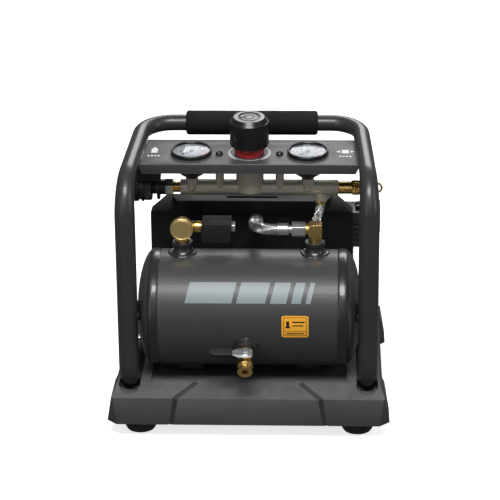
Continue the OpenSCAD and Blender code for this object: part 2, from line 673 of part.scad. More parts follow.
module cover_solid(t) {
  x = cover_x - t;
  intersection() {
    yz_prism(-x, x, [[shroud_back_y, base_top - 2 * t], [shroud_back_y, 259 - t], [50, 255 - t],
      [cover_back - 14, 204 - t],
      [cover_back - t, 190 - t], [cover_back - t, base_top - 2 * t]]);
    xz_prism(0, 200, [[-x, 50], [-x, 226 - t * 0.4], [-x + 22, 262 - t], [x - 22, 262 - t], [x, 226 - t * 0.4], [x, 50]]);
  }
}
module rear_cover() color("#2a2a2c") difference() {
  cover_solid(0);
  translate([0, -STEP, 0]) cover_solid(cover_wall);
  box([-122, 29, base_top - 9], [122, 164, base_top + cover_wall]);
  // window for the cylinder head
  box([69, 58, 142], [130, 126, 270]);
  // cooling slots
  for (i = [0:6]) box([-60, cover_back - 5, 100 + i * 10], [40, cover_back + 5, 104 + i * 10]);
  for (i = [0:5]) box([-130, 60 + i * 11, 84], [-120, 65 + i * 11, 150]);
  // rocker and gland holes
  box([72, cover_back - 5, 137], [88, cover_back + 5, 163]);
  translate([-85, 0, 84]) rod_y(cover_back - 5, cover_back + 5, 6.1);
}
module power_rocker() color("#8e1515") translate([80, cover_back - 2, 150]) rotate([-8, 0, 0]) difference() {
  yz_prism(-7, 7, [[-7, -9], [1.5, -12], [3, 0], [1.5, 12], [-7, 9]]);
  rod_x(-8, 8, 1.2);
}
module cable_gland() color("#161616") translate([-85, 0, 84]) difference() {
  union() {
    rod_y(cover_back - 8, cover_back, 6);
    rod_y(cover_back, cover_back + 5, 10);
    translate([0, cover_back + 5, 0]) rotate([-90, 0, 0]) cylinder(h = gland_y - cover_back - 5, r1 = 8.5, r2 = 6);
  }
  rod_y(cover_back - 9, gland_y + 1, 3.6);
}

// ---------- pump unit ----------
module on_shaft() { translate([0, motor_y, motor_z]) children(); }
module motor_housing() color("#55565a") {
  on_shaft() difference() {
    rod_x(-72, motor_end, motor_r);
    rod_x(-68, motor_end + 1, motor_r - 3.5);
    rod_x(-73, -60, 13.05);
  }
  difference() {
    box([-60, 52, 56], [motor_end, 128, 66]);
    on_shaft() rod_x(-73, motor_end + 1, motor_r);
  }
  for (x = [-50, 58], y = [60, 120]) translate([x, y, pocket_floor]) cylinder(h = 56 - pocket_floor, r = 9);
}
module motor_stator() color("#a05a2c") on_shaft() difference() {
  rod_x(-40, 50, motor_r - 3.6);
  rod_x(-41, 51, 24.8);
}
module rotor_shaft() color("#b0b2b4") on_shaft() {
  rod_x(-98, crank_x + 9, shaft_r);
  rod_x(-38, 48, 24);
  translate([0, 0, crank_throw]) rod_x(crank_x - 6, crank_x + 6, 11);
}
module shaft_bearings() color("#c4c6c8") on_shaft() difference() {
  union() { rod_x(-72, -62, 13); rod_x(motor_end + 0.2, motor_end + 8, 13); }
  rod_x(-75, 100, shaft_r + RUN);
}
module cooling_fan() color("#1a1a1a") on_shaft() {
  difference() {
    union() {
      rod_x(-96, -80, 12);
      for (a = [0:40:320]) rotate([a, 0, 0]) box([-95, -1.2, 10], [-81, 1.2, 40]);
    }
    rod_x(-100, -75, shaft_r);
  }
}
module crankcase() color("#7d7f83") difference() {
  union() {
    box([motor_end, 54, 56], [120.5, 126, 150]);
    translate([crank_x, motor_y, 144]) cylinder(h = 6, r = 28);
    translate([crank_x, motor_y, 150]) {
      cylinder(h = 26, r = 26.5);
      for (i = [0:3]) translate([0, 0, 3 + i * 6]) cylinder(h = 2.4, r = 31);
    }
  }
  box([motor_end + 11, 60, 62], [116, 120, 150 + STEP]);
  translate([crank_x, motor_y, 150]) cylinder(h = 30, r = 23.6);
  on_shaft() rod_x(motor_end - 1, motor_end + 12, 13.05);
}
module wobble_piston() color("#c2c4c7") {
  on_shaft() difference() {
    union() {
      rod_x(crank_x - 5, crank_x + 5, 22);
      box([crank_x - 4, -6, 18], [crank_x + 4, 6, 46]);
    }
    rod_x(crank_x - 7, crank_x + 7, 17.6);
  }
  translate([crank_x, motor_y, motor_z + 46]) cylinder(h = 8, r = 23.5);
}
module cylinder_head() color("#3b3b3d") difference() {
  box([head_x0, 66, 176], [head_x1, 114, 224]);
  for (i = [0:3]) difference() {
    box([head_x0 - 1, 60, 184 + i * 7], [head_x1 + 1, 120, 187 + i * 7]);
    box([head_x0 + 4, 70, 180], [head_x1 - 4, 110, 220]);
  }
  translate([crank_x, motor_y, 175]) cylinder(h = 6, r = 21);
  translate([0, 101, 207]) rod_x(head_x1 - 12, head_x1 + 2, 4);
}
module intake_filter() color("#151516") translate([0, 101, 207]) difference() {
  union() { rod_x(head_x1, head_x1 + 8, 9); rod_x(head_x1 + 7, head_x1 + 19, 22.5); }
  rod_x(head_x1 - 1, head_x1 + 16, 4);
  rod_x(head_x1 + 9, head_x1 + 17, 18);
}

base_tray();
rubber_feet();
base_screws();
left_leg_tube();
right_leg_tube();
handle_tube();
foam_grip();
leg_clamps();
tube_plugs();
tank_shell();
weld_bands();
tank_bungs();
tank_mounts();
frame_bolts();
check_valve_body();
check_valve_cap();
check_poppet();
solenoid_coil();
pipe_nuts();
delivery_tee();
hose_ferrules();
braided_hose();
manifold_bar();
regulator_body();
lock_ring();
regulator_stem();
regulator_knob();
control_panel();
panel_screws();
gauge_cases();
gauge_bezels();
gauge_dials();
gauge_lenses();
outlet_needle();
tank_needle();
feed_hose();
feed_collar();
outlet_nipple();
coupler_body();
coupler_sleeve();
pressure_switch();
safety_valve_body();
safety_pull();
drain_valve_body();
drain_ball();
drain_lever();
lever_sleeve();
shroud_front();
rear_cover();
cable_gland();
motor_housing();
motor_stator();
rotor_shaft();
shaft_bearings();
cooling_fan();
crankcase();
wobble_piston();
cylinder_head();
intake_filter();
power_rocker();
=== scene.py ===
import json
import math

import bpy
from mathutils import Matrix, Vector


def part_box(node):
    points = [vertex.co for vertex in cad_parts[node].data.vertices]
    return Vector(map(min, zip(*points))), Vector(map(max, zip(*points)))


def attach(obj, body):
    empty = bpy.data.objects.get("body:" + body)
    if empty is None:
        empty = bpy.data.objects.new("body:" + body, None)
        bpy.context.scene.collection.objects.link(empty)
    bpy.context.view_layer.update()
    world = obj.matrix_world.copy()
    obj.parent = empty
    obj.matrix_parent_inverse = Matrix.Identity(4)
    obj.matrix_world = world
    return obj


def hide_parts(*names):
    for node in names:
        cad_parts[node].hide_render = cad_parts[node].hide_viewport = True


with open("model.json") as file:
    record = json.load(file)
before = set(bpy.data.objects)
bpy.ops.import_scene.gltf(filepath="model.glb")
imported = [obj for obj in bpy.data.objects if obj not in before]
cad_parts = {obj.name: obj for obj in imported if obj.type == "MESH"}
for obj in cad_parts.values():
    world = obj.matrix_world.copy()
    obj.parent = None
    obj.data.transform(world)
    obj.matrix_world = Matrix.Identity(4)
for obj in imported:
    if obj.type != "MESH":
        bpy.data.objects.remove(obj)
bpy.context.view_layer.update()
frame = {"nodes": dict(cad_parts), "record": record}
bpy.ops.object.select_all(action="DESELECT")
print("frame loaded, nodes:", len(frame["nodes"]))


# camera, floor and light

def setCamera():
    shot = {"place": (0.1014, -2.4724, 1.0954), "turn": 2.4, "down": 20.0, "roll": -0.5, "lens": 145.26}
    bpy.ops.object.camera_add()
    camera = bpy.context.active_object
    turn = Matrix.Rotation(math.radians(shot["turn"]), 4, "Z")
    down = Matrix.Rotation(math.radians(90 - shot["down"]), 4, "X")
    roll = Matrix.Rotation(math.radians(shot["roll"]), 4, "Z")
    camera.matrix_world = Matrix.Translation(shot["place"]) @ turn @ down @ roll
    camera.data.lens = shot["lens"]
    camera.data.clip_end = 40
    bpy.context.scene.camera = camera


def softbox(name, place, aim, size, power):
    bpy.ops.object.light_add(type="AREA", location=place)
    lamp = bpy.context.active_object
    lamp.name = name
    lamp.rotation_euler = (Vector(aim) - Vector(place)).to_track_quat("-Z", "Y").to_euler()
    lamp.data.shape = "RECTANGLE"
    lamp.data.size, lamp.data.size_y = size
    lamp.data.energy = power


def lightStudio():
    middle = (0, 0, 0.2)
    softbox("topBox", (0.0, -1.35, 1.95), middle, (1.2, 0.6), 40)
    softbox("frontBox", (0.2, -2.9, 1.2), middle, (2.4, 1.4), 3.6)
    softbox("leftStrip", (-1.15, -2.0, 0.8), middle, (0.22, 1.5), 4)
    softbox("rightStrip", (2.0, -0.7, 0.9), middle, (0.4, 1.4), 6)
    softbox("backBox", (0.3, 2.0, 1.8), middle, (1.4, 0.9), 22)
    world = bpy.data.worlds.new("studioAir")
    bpy.context.scene.world = world
    world.use_nodes = True
    world.node_tree.nodes["Background"].inputs["Color"].default_value = (0.96, 0.97, 1.0, 1)
    world.node_tree.nodes["Background"].inputs["Strength"].default_value = 0.14
    bpy.context.scene.view_settings.view_transform = "Standard"


setCamera()
lightStudio()


# node groups that several finishes share

def newGroup(name, inputs, outputs):
    group = bpy.data.node_groups.new(name, "ShaderNodeTree")
    for label, value in inputs:
        socket = group.interface.new_socket(name=label, in_out="INPUT", socket_type="NodeSocketFloat")
        socket.default_value = value
    for label in outputs:
        group.interface.new_socket(name=label, in_out="OUTPUT", socket_type="NodeSocketFloat")
    return group, group.nodes.new("NodeGroupInput"), group.nodes.new("NodeGroupOutput")


def sums(tree, operation, first, second=None, clamp=False):
    node = tree.nodes.new("ShaderNodeMath")
    node.operation = operation
    node.use_clamp = clamp
    for socket, value in zip(node.inputs, (first, second)):
        if isinstance(value, (int, float)):
            socket.default_value = value
        elif value is not None:
            tree.links.new(value, socket)
    return node.outputs[0]


def noiseOn(tree, where, scale, detail=4.0, rough=0.55):
    node = tree.nodes.new("ShaderNodeTexNoise")
    node.inputs["Detail"].default_value = detail
    node.inputs["Roughness"].default_value = rough
    tree.links.new(where, node.inputs["Vector"])
    if isinstance(scale, (int, float)):
        node.inputs["Scale"].default_value = scale
    else:
        tree.links.new(scale, node.inputs["Scale"])
    return node.outputs["Fac"]


def moulding():
    # fine grain with a softer swell under it, and slow cloudy blotches
    group, given, result = newGroup("mouldedGrain", [("Scale", 900), ("Stretch", 1)],
                                    ["Height", "Speck", "Cloud"])
    coord = group.nodes.new("ShaderNodeTexCoord")
    factor = group.nodes.new("ShaderNodeCombineXYZ")
    factor.inputs[1].default_value = factor.inputs[2].default_value = 1
    group.links.new(given.outputs["Stretch"], factor.inputs[0])
    stretched = group.nodes.new("ShaderNodeVectorMath")
    stretched.operation = "MULTIPLY"
    group.links.new(coord.outputs["Object"], stretched.inputs[0])
    group.links.new(factor.outputs[0], stretched.inputs[1])
    fine = noiseOn(group, stretched.outputs[0], given.outputs["Scale"], 3, 0.6)
    coarse = noiseOn(group, stretched.outputs[0], sums(group, "MULTIPLY", given.outputs["Scale"], 0.28), 2)
    cloud = noiseOn(group, coord.outputs["Object"], 22, 3)
    height = sums(group, "ADD", sums(group, "MULTIPLY", fine, 0.7), sums(group, "MULTIPLY", coarse, 0.5))
    group.links.new(height, result.inputs["Height"])
    group.links.new(fine, result.inputs["Speck"])
    group.links.new(cloud, result.inputs["Cloud"])
    return group


def edgeRub():
    # worn where a rounded edge turns away from the flat face
    group, given, result = newGroup("edgeRub", [("Radius", 0.0012), ("Amount", 0.5)], ["Rub"])
    bevel = group.nodes.new("ShaderNodeBevel")
    bevel.samples = 4
    group.links.new(given.outputs["Radius"], bevel.inputs["Radius"])
    flat = group.nodes.new("ShaderNodeNewGeometry")
    dot = group.nodes.new("ShaderNodeVectorMath")
    dot.operation = "DOT_PRODUCT"
    group.links.new(bevel.outputs["Normal"], dot.inputs[0])
    group.links.new(flat.outputs["Normal"], dot.inputs[1])
    coord = group.nodes.new("ShaderNodeTexCoord")
    patch = noiseOn(group, coord.outputs["Object"], 240, 4)
    worn = sums(group, "MULTIPLY", sums(group, "SUBTRACT", 1, dot.outputs["Value"]), 7, clamp=True)
    patchy = sums(group, "MULTIPLY", worn, sums(group, "MULTIPLY", patch, 1.6), clamp=True)
    group.links.new(sums(group, "MULTIPLY", patchy, given.outputs["Amount"]), result.inputs["Rub"])
    return group


def dustFall():
    # a thin film of dust on what faces up
    group, given, result = newGroup("dustFall", [("Amount", 0.1)], ["Dust"])
    flat = group.nodes.new("ShaderNodeNewGeometry")
    split = group.nodes.new("ShaderNodeSeparateXYZ")
    group.links.new(flat.outputs["Normal"], split.inputs[0])
    coord = group.nodes.new("ShaderNodeTexCoord")
    patch = noiseOn(group, coord.outputs["Object"], 60, 6, 0.65)
    up = sums(group, "MULTIPLY", split.outputs["Z"], patch, clamp=True)
    group.links.new(sums(group, "MULTIPLY", up, given.outputs["Amount"]), result.inputs["Dust"])
    return group


grainGroup = moulding()
rubGroup = edgeRub()
dustGroup = dustFall()
dustTint = (0.42, 0.41, 0.39, 1)


def placeGroup(tree, group, **values):
    node = tree.nodes.new("ShaderNodeGroup")
    node.node_tree = group
    for label, value in values.items():
        node.inputs[label].default_value = value
    return node


def mixTint(tree, factor, first, second):
    node = tree.nodes.new("ShaderNodeMix")
    node.data_type = "RGBA"
    for socket, value in ((node.inputs[0], factor), (node.inputs[6], first), (node.inputs[7], second)):
        if isinstance(value, (int, float, tuple)):
            socket.default_value = value
        else:
            tree.links.new(value, socket)
    return node.outputs[2]


def grey(level):
    return (level, level, level, 1)


def shade(colour, by):
    return tuple(max(0, min(1, c * by)) for c in colour[:3]) + (1,)


finishes = {}


def makeFinish(name, colour, rough, metal=0.0, grain=900.0, stretch=1.0, depth=0.25, cloud=0.12, speck=0.1,
               rub=0.3, rubTint=None, dust=0.1, coat=0.0, roughSwing=0.12, rounding=0.0004,
               lift=0.00012, shine=0.5):
    material = bpy.data.materials.new(name)
    material.use_nodes = True
    tree = material.node_tree
    shader = tree.nodes["Principled BSDF"]
    shader.inputs["Metallic"].default_value = metal
    shader.inputs["Specular IOR Level"].default_value = shine
    grainNode = placeGroup(tree, grainGroup, Scale=grain, Stretch=stretch)
    rubNode = placeGroup(tree, rubGroup, Radius=0.0012, Amount=rub)
    dustNode = placeGroup(tree, dustGroup, Amount=dust)
    tint = mixTint(tree, grainNode.outputs["Cloud"], shade(colour, 1 - cloud), shade(colour, 1 + cloud))
    specks = sums(tree, "MULTIPLY", grainNode.outputs["Speck"], speck)
    tint = mixTint(tree, specks, tint, shade(colour, 2.6))
    tint = mixTint(tree, rubNode.outputs["Rub"], tint, rubTint or shade(colour, 2.2))
    tint = mixTint(tree, dustNode.outputs["Dust"], tint, dustTint)
    tree.links.new(tint, shader.inputs["Base Color"])
    swing = sums(tree, "MULTIPLY", sums(tree, "SUBTRACT", grainNode.outputs["Speck"], 0.5), roughSwing * 2)
    swing = sums(tree, "ADD", swing, sums(tree, "MULTIPLY", dustNode.outputs["Dust"], 0.5))
    tree.links.new(sums(tree, "ADD", swing, rough, clamp=True), shader.inputs["Roughness"])
    shader.inputs["Coat Weight"].default_value = coat
    bump = tree.nodes.new("ShaderNodeBump")
    bump.inputs["Strength"].default_value = depth
    bump.inputs["Distance"].default_value = lift
    tree.links.new(grainNode.outputs["Height"], bump.inputs["Height"])
    if rounding:
        bevel = tree.nodes.new("ShaderNodeBevel")
        bevel.samples = 4
        bevel.inputs["Radius"].default_value = rounding
        tree.links.new(bevel.outputs["Normal"], bump.inputs["Normal"])
    tree.links.new(bump.outputs["Normal"], shader.inputs["Normal"])
    finishes[name] = material


def clearGlass():
    material = bpy.data.materials.new("gaugeGlass")
    material.use_nodes = True
    tree = material.node_tree
    shader = tree.nodes["Principled BSDF"]
    shader.inputs["Base Color"].default_value = (0.97, 0.985, 1.0, 1)
    shader.inputs["Transmission Weight"].default_value = 1.0
    shader.inputs["IOR"].default_value = 1.12
    grainNode = placeGroup(tree, grainGroup, Scale=160, Stretch=1)
    tree.links.new(sums(tree, "MULTIPLY", grainNode.outputs["Cloud"], 0.06), shader.inputs["Roughness"])
    bump = tree.nodes.new("ShaderNodeBump")
    bump.inputs["Strength"].default_value = 0.03
    bump.inputs["Distance"].default_value = 0.0001
    tree.links.new(grainNode.outputs["Cloud"], bump.inputs["Height"])
    tree.links.new(bump.outputs["Normal"], shader.inputs["Normal"])
    finishes["gaugeGlass"] = material


makeFinish("sandyBase", (0.038, 0.038, 0.039), 0.62, grain=1500, depth=0.55, speck=0.5, cloud=0.1,
           rub=0.25, rubTint=grey(0.2), dust=0.32, lift=0.00018)
makeFinish("frameCoat", (0.026, 0.0265, 0.028), 0.36, grain=1100, depth=0.12, speck=0.16, cloud=0.1,
           rub=0.1, dust=0.04, coat=0.15, roughSwing=0.06, rounding=0.0)
makeFinish("tankCoat", (0.036, 0.0365, 0.038), 0.42, grain=1000, depth=0.5, speck=0.3, cloud=0.12, rub=0.2,
           dust=0.05, coat=0.05, rounding=0.0, lift=0.00016)
makeFinish("weldPaint", (0.014, 0.014, 0.015), 0.32, grain=420, depth=0.6, speck=0.15, cloud=0.2, rub=0.2,
           dust=0.04, coat=0.3, lift=0.0002)
makeFinish("gripFoam", (0.006, 0.006, 0.0064), 0.9, grain=2200, depth=0.8, speck=0.25, cloud=0.2, rub=0.1,
           dust=0.06, rounding=0.0, lift=0.0002, shine=0.2)
makeFinish("blackMould", (0.008, 0.008, 0.0085), 0.38, grain=1300, depth=0.2, speck=0.2, cloud=0.2,
           rub=0.3, dust=0.06)
makeFinish("shroudMould", (0.006, 0.006, 0.0064), 0.5, grain=1500, depth=0.4, speck=0.45, cloud=0.18,
           rub=0.3, rubTint=grey(0.12), dust=0.08, lift=0.00016, shine=0.22)
makeFinish("knobGloss", (0.005, 0.005, 0.0055), 0.3, grain=500, depth=0.05, speck=0.1, cloud=0.2, rub=0.25,
           dust=0.04, coat=0.12, roughSwing=0.05)
makeFinish("knobCap", (0.05, 0.05, 0.053), 0.42, grain=900, depth=0.2, speck=0.2, cloud=0.1, rub=0.2,
           dust=0.05)
makeFinish("ringRed", (0.34, 0.006, 0.01), 0.26, grain=700, depth=0.12, speck=0.1, cloud=0.25, rub=0.3,
           rubTint=(0.75, 0.12, 0.1, 1), dust=0.05, coat=0.3)
makeFinish("panelCoat", (0.044, 0.0445, 0.046), 0.46, grain=1700, depth=0.3, speck=0.35, cloud=0.08,
           rub=0.75, rubTint=grey(0.5), dust=0.05)
makeFinish("castBar", (0.36, 0.335, 0.29), 0.44, metal=0.55, grain=620, depth=0.7, speck=0.4, cloud=0.25,
           rub=0.4, rubTint=(0.6, 0.57, 0.5, 1), dust=0.06, lift=0.00028)
makeFinish("brass", (0.76, 0.50, 0.17), 0.26, metal=1.0, grain=700, depth=0.06, speck=0.06, cloud=0.12,
           rub=0.15, rubTint=(0.95, 0.78, 0.42, 1), dust=0.03, rounding=0.0006)
makeFinish("brassSandy", (0.74, 0.52, 0.2), 0.42, metal=1.0, grain=1500, depth=0.8, speck=0.3, cloud=0.15,
           rub=0.3, rubTint=(0.95, 0.8, 0.5, 1), dust=0.02, lift=0.0002)
makeFinish("brassGold", (0.82, 0.47, 0.08), 0.22, metal=1.0, grain=700, depth=0.12, speck=0.1, cloud=0.15,
           rub=0.4, rubTint=(1.0, 0.8, 0.35, 1), dust=0.02)
makeFinish("nickel", (0.8, 0.8, 0.81), 0.3, metal=1.0, grain=520, depth=0.1, speck=0.08, cloud=0.1,
           rub=0.3, rubTint=(0.95, 0.95, 0.96, 1), dust=0.02, rounding=0.0006)
makeFinish("zinc", (0.38, 0.38, 0.39), 0.32, metal=1.0, grain=560, depth=0.25, speck=0.15, cloud=0.18,
           rub=0.4, rubTint=grey(0.8), dust=0.04, rounding=0.0005)
makeFinish("turnedSteel", (0.46, 0.46, 0.47), 0.28, metal=1.0, grain=900, stretch=5.0, depth=0.3,
           speck=0.1, cloud=0.12, rub=0.4, rubTint=grey(0.8), dust=0.03)
makeFinish("blackOxide", (0.016, 0.016, 0.017), 0.27, metal=0.6, grain=700, depth=0.15, speck=0.15,
           cloud=0.2, rub=0.5, rubTint=(0.3, 0.3, 0.31, 1), dust=0.04, coat=0.1)
makeFinish("braidWire", (0.78, 0.78, 0.77), 0.25, metal=1.0, grain=900, depth=0.2, speck=0.2, cloud=0.35,
           rub=0.2, rubTint=(0.85, 0.85, 0.86, 1), dust=0.03, rounding=0.0)
makeFinish("braidCore", (0.004, 0.004, 0.004), 0.6, grain=1200, depth=0.3, rub=0.0, dust=0.03,
           rounding=0.0)
makeFinish("footRubber", (0.012, 0.012, 0.012), 0.62, grain=1400, depth=0.4, speck=0.2, cloud=0.2, rub=0.3,
           rubTint=grey(0.07), dust=0.12)
# the dial paper's bluish grey is partly paper tone and partly a painted reflection of the sky in the glass
makeFinish("dialPaperAndReflection", (0.42, 0.44, 0.47), 0.5, grain=1600, depth=0.06, speck=0.06, cloud=0.04, rub=0.0,
           dust=0.0, rounding=0.0)
makeFinish("printBlack", (0.01, 0.01, 0.012), 0.45, grain=1800, depth=0.1, rub=0.0, dust=0.0, rounding=0.0)
makeFinish("printRed", (0.72, 0.1, 0.02), 0.45, grain=1800, depth=0.1, rub=0.0, dust=0.0, rounding=0.0)
makeFinish("printWhite", (0.78, 0.79, 0.8), 0.5, grain=1800, depth=0.15, speck=0.1, cloud=0.05, rub=0.0,
           dust=0.02, rounding=0.0)
makeFinish("stripeSilver", (0.22, 0.26, 0.275), 0.4, grain=1200, depth=0.3, speck=0.1, cloud=0.05,
           rub=0.15, dust=0.02, rounding=0.0)
makeFinish("labelOrange", (0.95, 0.43, 0.03), 0.4, grain=1500, depth=0.12, speck=0.06, cloud=0.05, rub=0.2,
           dust=0.02, rounding=0.0)
makeFinish("dieCast", (0.4, 0.4, 0.42), 0.48, metal=0.85, grain=640, depth=0.6, speck=0.25, cloud=0.2,
           rub=0.4, rubTint=(0.75, 0.75, 0.76, 1), dust=0.08, lift=0.0002)
makeFinish("finPaint", (0.035, 0.035, 0.037), 0.42, grain=900, depth=0.5, speck=0.25, cloud=0.2, rub=0.5,
           rubTint=grey(0.25), dust=0.08)
makeFinish("copperWinding", (0.56, 0.22, 0.08), 0.34, metal=0.9, grain=500, stretch=9.0, depth=0.8,
           speck=0.2, cloud=0.3, rub=0.2, dust=0.08, coat=0.2)
makeFinish("whiteSeal", (0.74, 0.72, 0.66), 0.4, grain=1200, depth=0.15, rub=0.1, dust=0.03)
makeFinish("switchRed", (0.4, 0.01, 0.012), 0.3, grain=900, depth=0.15, rub=0.3, dust=0.05, coat=0.2)
clearGlass()
print("finishes ready:", len(finishes))


# ways of making and finishing a piece

bodyOf = {node: body for body, nodes in frame["record"]["behaviour"]["bodies"].items() for node in nodes}
quarter = math.pi / 2
facingFront = Matrix.Rotation(quarter, 4, "X")  # local z points to the front
facingRight = Matrix.Rotation(quarter, 4, "Y")  # local z points to +X


def deselect():
    if bpy.context.object and bpy.context.object.mode != "OBJECT":
        bpy.ops.object.mode_set(mode="OBJECT")
    bpy.ops.object.select_all(action="DESELECT")


def pick(*pieces):
    deselect()
    for piece in pieces:
        piece.select_set(True)
    bpy.context.view_layer.objects.active = pieces[0]


def shapeIn():
    bpy.ops.object.mode_set(mode="EDIT")
    bpy.ops.mesh.select_all(action="SELECT")


def shapeOut():
    bpy.ops.object.mode_set(mode="OBJECT")


def settle(piece, place=None):
    # puts the piece in place and leaves its object at the origin
    if place is not None:
        piece.matrix_world = place
    pick(piece)
    bpy.ops.object.transform_apply(location=True, rotation=True, scale=True)
    return piece


def joined(pieces):
    pick(*pieces)
    if len(pieces) > 1:
        bpy.ops.object.join()
    return pieces[0]


def modified(piece, kind, **values):
    pick(piece)
    modifier = piece.modifiers.new("shaping", kind)
    for label, value in values.items():
        setattr(modifier, label, value)
    bpy.ops.object.modifier_apply(modifier=modifier.name)
    return piece


def finished(piece, name, finish, body="base", replaced=(), angle=38):
    settle(piece)
    piece.name = piece.data.name = name
    if finish:
        piece.data.materials.clear()
        piece.data.materials.append(finishes[finish])
    if angle:
        bpy.ops.object.shade_smooth_by_angle(angle=math.radians(angle))
    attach(piece, body)
    if replaced:
        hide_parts(*replaced)
    return piece


def painted(*nodes, finish):
    for node in nodes:
        materials = frame["nodes"][node].data.materials
        for i in range(len(materials)):
            materials[i] = finishes[finish]


def softened(node, finish, width=0.0006, segments=2, limit=30, angle=36):
    # a copy of the CAD shape with its corners rounded over
    source = frame["nodes"][node]
    piece = source.copy()
    piece.data = source.data.copy()
    piece.parent = None
    for label in list(piece.keys()):
        del piece[label]
    bpy.context.scene.collection.objects.link(piece)
    pick(piece)
    bpy.ops.mesh.customdata_custom_splitnormals_clear()
    shapeIn()
    bpy.ops.mesh.remove_doubles(threshold=0.000004)
    bpy.ops.mesh.dissolve_limited(angle_limit=math.radians(0.8))
    shapeOut()
    modified(piece, "BEVEL", width=width, segments=segments, limit_method="ANGLE",
             angle_limit=math.radians(limit), use_clamp_overlap=True, miter_outer="MITER_ARC")
    return finished(piece, node + "Soft", finish, bodyOf[node], replaced=(node,), angle=angle)


def pull(step):
    bpy.ops.mesh.extrude_region_move(TRANSFORM_OT_translate={"value": tuple(step)})


def bend(centre, axis, degrees, steps=12):
    # spin turns the other way round from the right-hand rule
    bpy.ops.mesh.spin(steps=steps, angle=-math.radians(degrees), center=tuple(centre), axis=tuple(axis))


def startPoint(spot):
    # a mesh of one selected point, open for drawing
    deselect()
    bpy.ops.mesh.primitive_plane_add(size=0.002)
    piece = bpy.context.active_object
    shapeIn()
    bpy.ops.mesh.merge(type="CENTER")
    bpy.ops.transform.translate(value=spot)
    return piece


def turned(points, place=None, steps=48, close=True):
    # a lathe shape: the outline is drawn point by point as (radius, height), then spun about z
    piece = startPoint((points[0][0], 0, points[0][1]))
    outline = list(points) + ([points[0]] if close and points[0][0] > 0.00001 else [])
    for (fromR, fromZ), (toR, toZ) in zip(outline, outline[1:]):
        pull((toR - fromR, 0, toZ - fromZ))
    bpy.ops.mesh.select_all(action="SELECT")
    bend((0, 0, 0), (0, 0, 1), 360, steps)
    bpy.ops.mesh.select_all(action="SELECT")
    bpy.ops.mesh.remove_doubles(threshold=0.000006)
    bpy.ops.mesh.normals_make_consistent(inside=False)
    shapeOut()
    return settle(piece, place)


def bar(size, place, bevel=0.0, segments=2):
    # a small block with rounded edges
    deselect()
    bpy.ops.mesh.primitive_cube_add(size=1)
    piece = bpy.context.active_object
    piece.scale = size
    bpy.ops.object.transform_apply(location=False, rotation=False, scale=True)
    if bevel:
        modified(piece, "BEVEL", width=bevel, segments=segments)
    return settle(piece, place)


def torus(radius, thick, place, around, across):
    bpy.ops.mesh.primitive_torus_add(major_radius=radius, minor_radius=thick, major_segments=around,
                                     minor_segments=across)
    return settle(bpy.context.active_object, place)


def arrow(radius, place):
    # a flat triangle that points along its own y
    bpy.ops.mesh.primitive_cylinder_add(vertices=3, radius=radius, depth=0.0002)
    return settle(bpy.context.active_object, place)


def ribsRound(count, radius, size, place):
    # equal ribs set round an axis, one made and the rest copied
    first = bar(size, Matrix.Identity(4), min(size) * 0.3, 1)
    ribs = []
    for i in range(count):
        rib = first.copy()
        rib.data = first.data.copy()
        bpy.context.scene.collection.objects.link(rib)
        spot = Matrix.Rotation(2 * math.pi * i / count, 4, "Z") @ Matrix.Translation((radius, 0, 0))
        rib.matrix_world = place @ spot
        ribs.append(rib)
    pick(first)
    bpy.ops.object.delete()
    pick(*ribs)
    bpy.ops.object.transform_apply(location=True, rotation=True, scale=True)
    return joined(ribs)


def roughened(piece, strength, size):
    # an uneven surface, as a weld bead or a foam skin has
    texture = bpy.data.textures.new("lumps", "CLOUDS")
    texture.noise_scale = size
    return modified(piece, "DISPLACE", texture=texture, strength=strength, mid_level=0.5)


def arcStrip(inner, outer, fromDegrees, toDegrees, place, thick=0.00012, steps=24):
    # a thin flat arc
    a = math.radians(fromDegrees)
    piece = startPoint((inner * math.cos(a), inner * math.sin(a), 0))
    pull(((outer - inner) * math.cos(a), (outer - inner) * math.sin(a), 0))
    bpy.ops.mesh.select_all(action="SELECT")
    bend((0, 0, 0), (0, 0, 1), toDegrees - fromDegrees, steps)
    bpy.ops.mesh.select_all(action="SELECT")
    bpy.ops.mesh.normals_make_consistent(inside=False)
    shapeOut()
    modified(piece, "SOLIDIFY", thickness=thick, offset=0)
    return settle(piece, place)


# places on the machine

panel = {"tilt": 7.0, "middle": Vector((0, -0.040, 0.340)), "barDrop": -0.048, "gauge": 0.0735}


def onPanel(x=0.0, along=0.0, up=0.0):
    return (Matrix.Translation(panel["middle"]) @ Matrix.Rotation(math.radians(panel["tilt"]), 4, "X")
            @ Matrix.Translation((x, along, up)))


def onBar(x):
    return onPanel(x, 0, panel["barDrop"]) @ facingRight


drain = {"middle": Vector((-0.002, -0.080, 0.147)), "below": 23.0}
drainTurn = Matrix.Rotation(quarter + math.radians(drain["below"]), 4, "X")
drainPlace = Matrix.Translation(drain["middle"]) @ drainTurn


# tube frame and grip

tubes = {"leg": 0.0127, "rail": 0.0105, "footBend": 0.030, "headBend": 0.045, "lean": 3.2,
         "headFrom": 0.2913, "neck": 0.014, "corner": 0.040, "runHigh": 0.066, "runBack": 0.150,
         "reach": 0.134, "sides": 36}


def openRing(place, radius):
    deselect()
    bpy.ops.mesh.primitive_circle_add(vertices=tubes["sides"], radius=radius)
    ring = settle(bpy.context.active_object, place)
    shapeIn()
    return ring


def closeEnds():
    bpy.ops.mesh.select_all(action="DESELECT")
    bpy.ops.mesh.select_mode(type="EDGE")
    bpy.ops.mesh.select_non_manifold()
    bpy.ops.mesh.fill_holes(sides=0)
    bpy.ops.mesh.select_all(action="SELECT")
    bpy.ops.mesh.select_mode(type="VERT")
    bpy.ops.mesh.normals_make_consistent(inside=False)
    shapeOut()


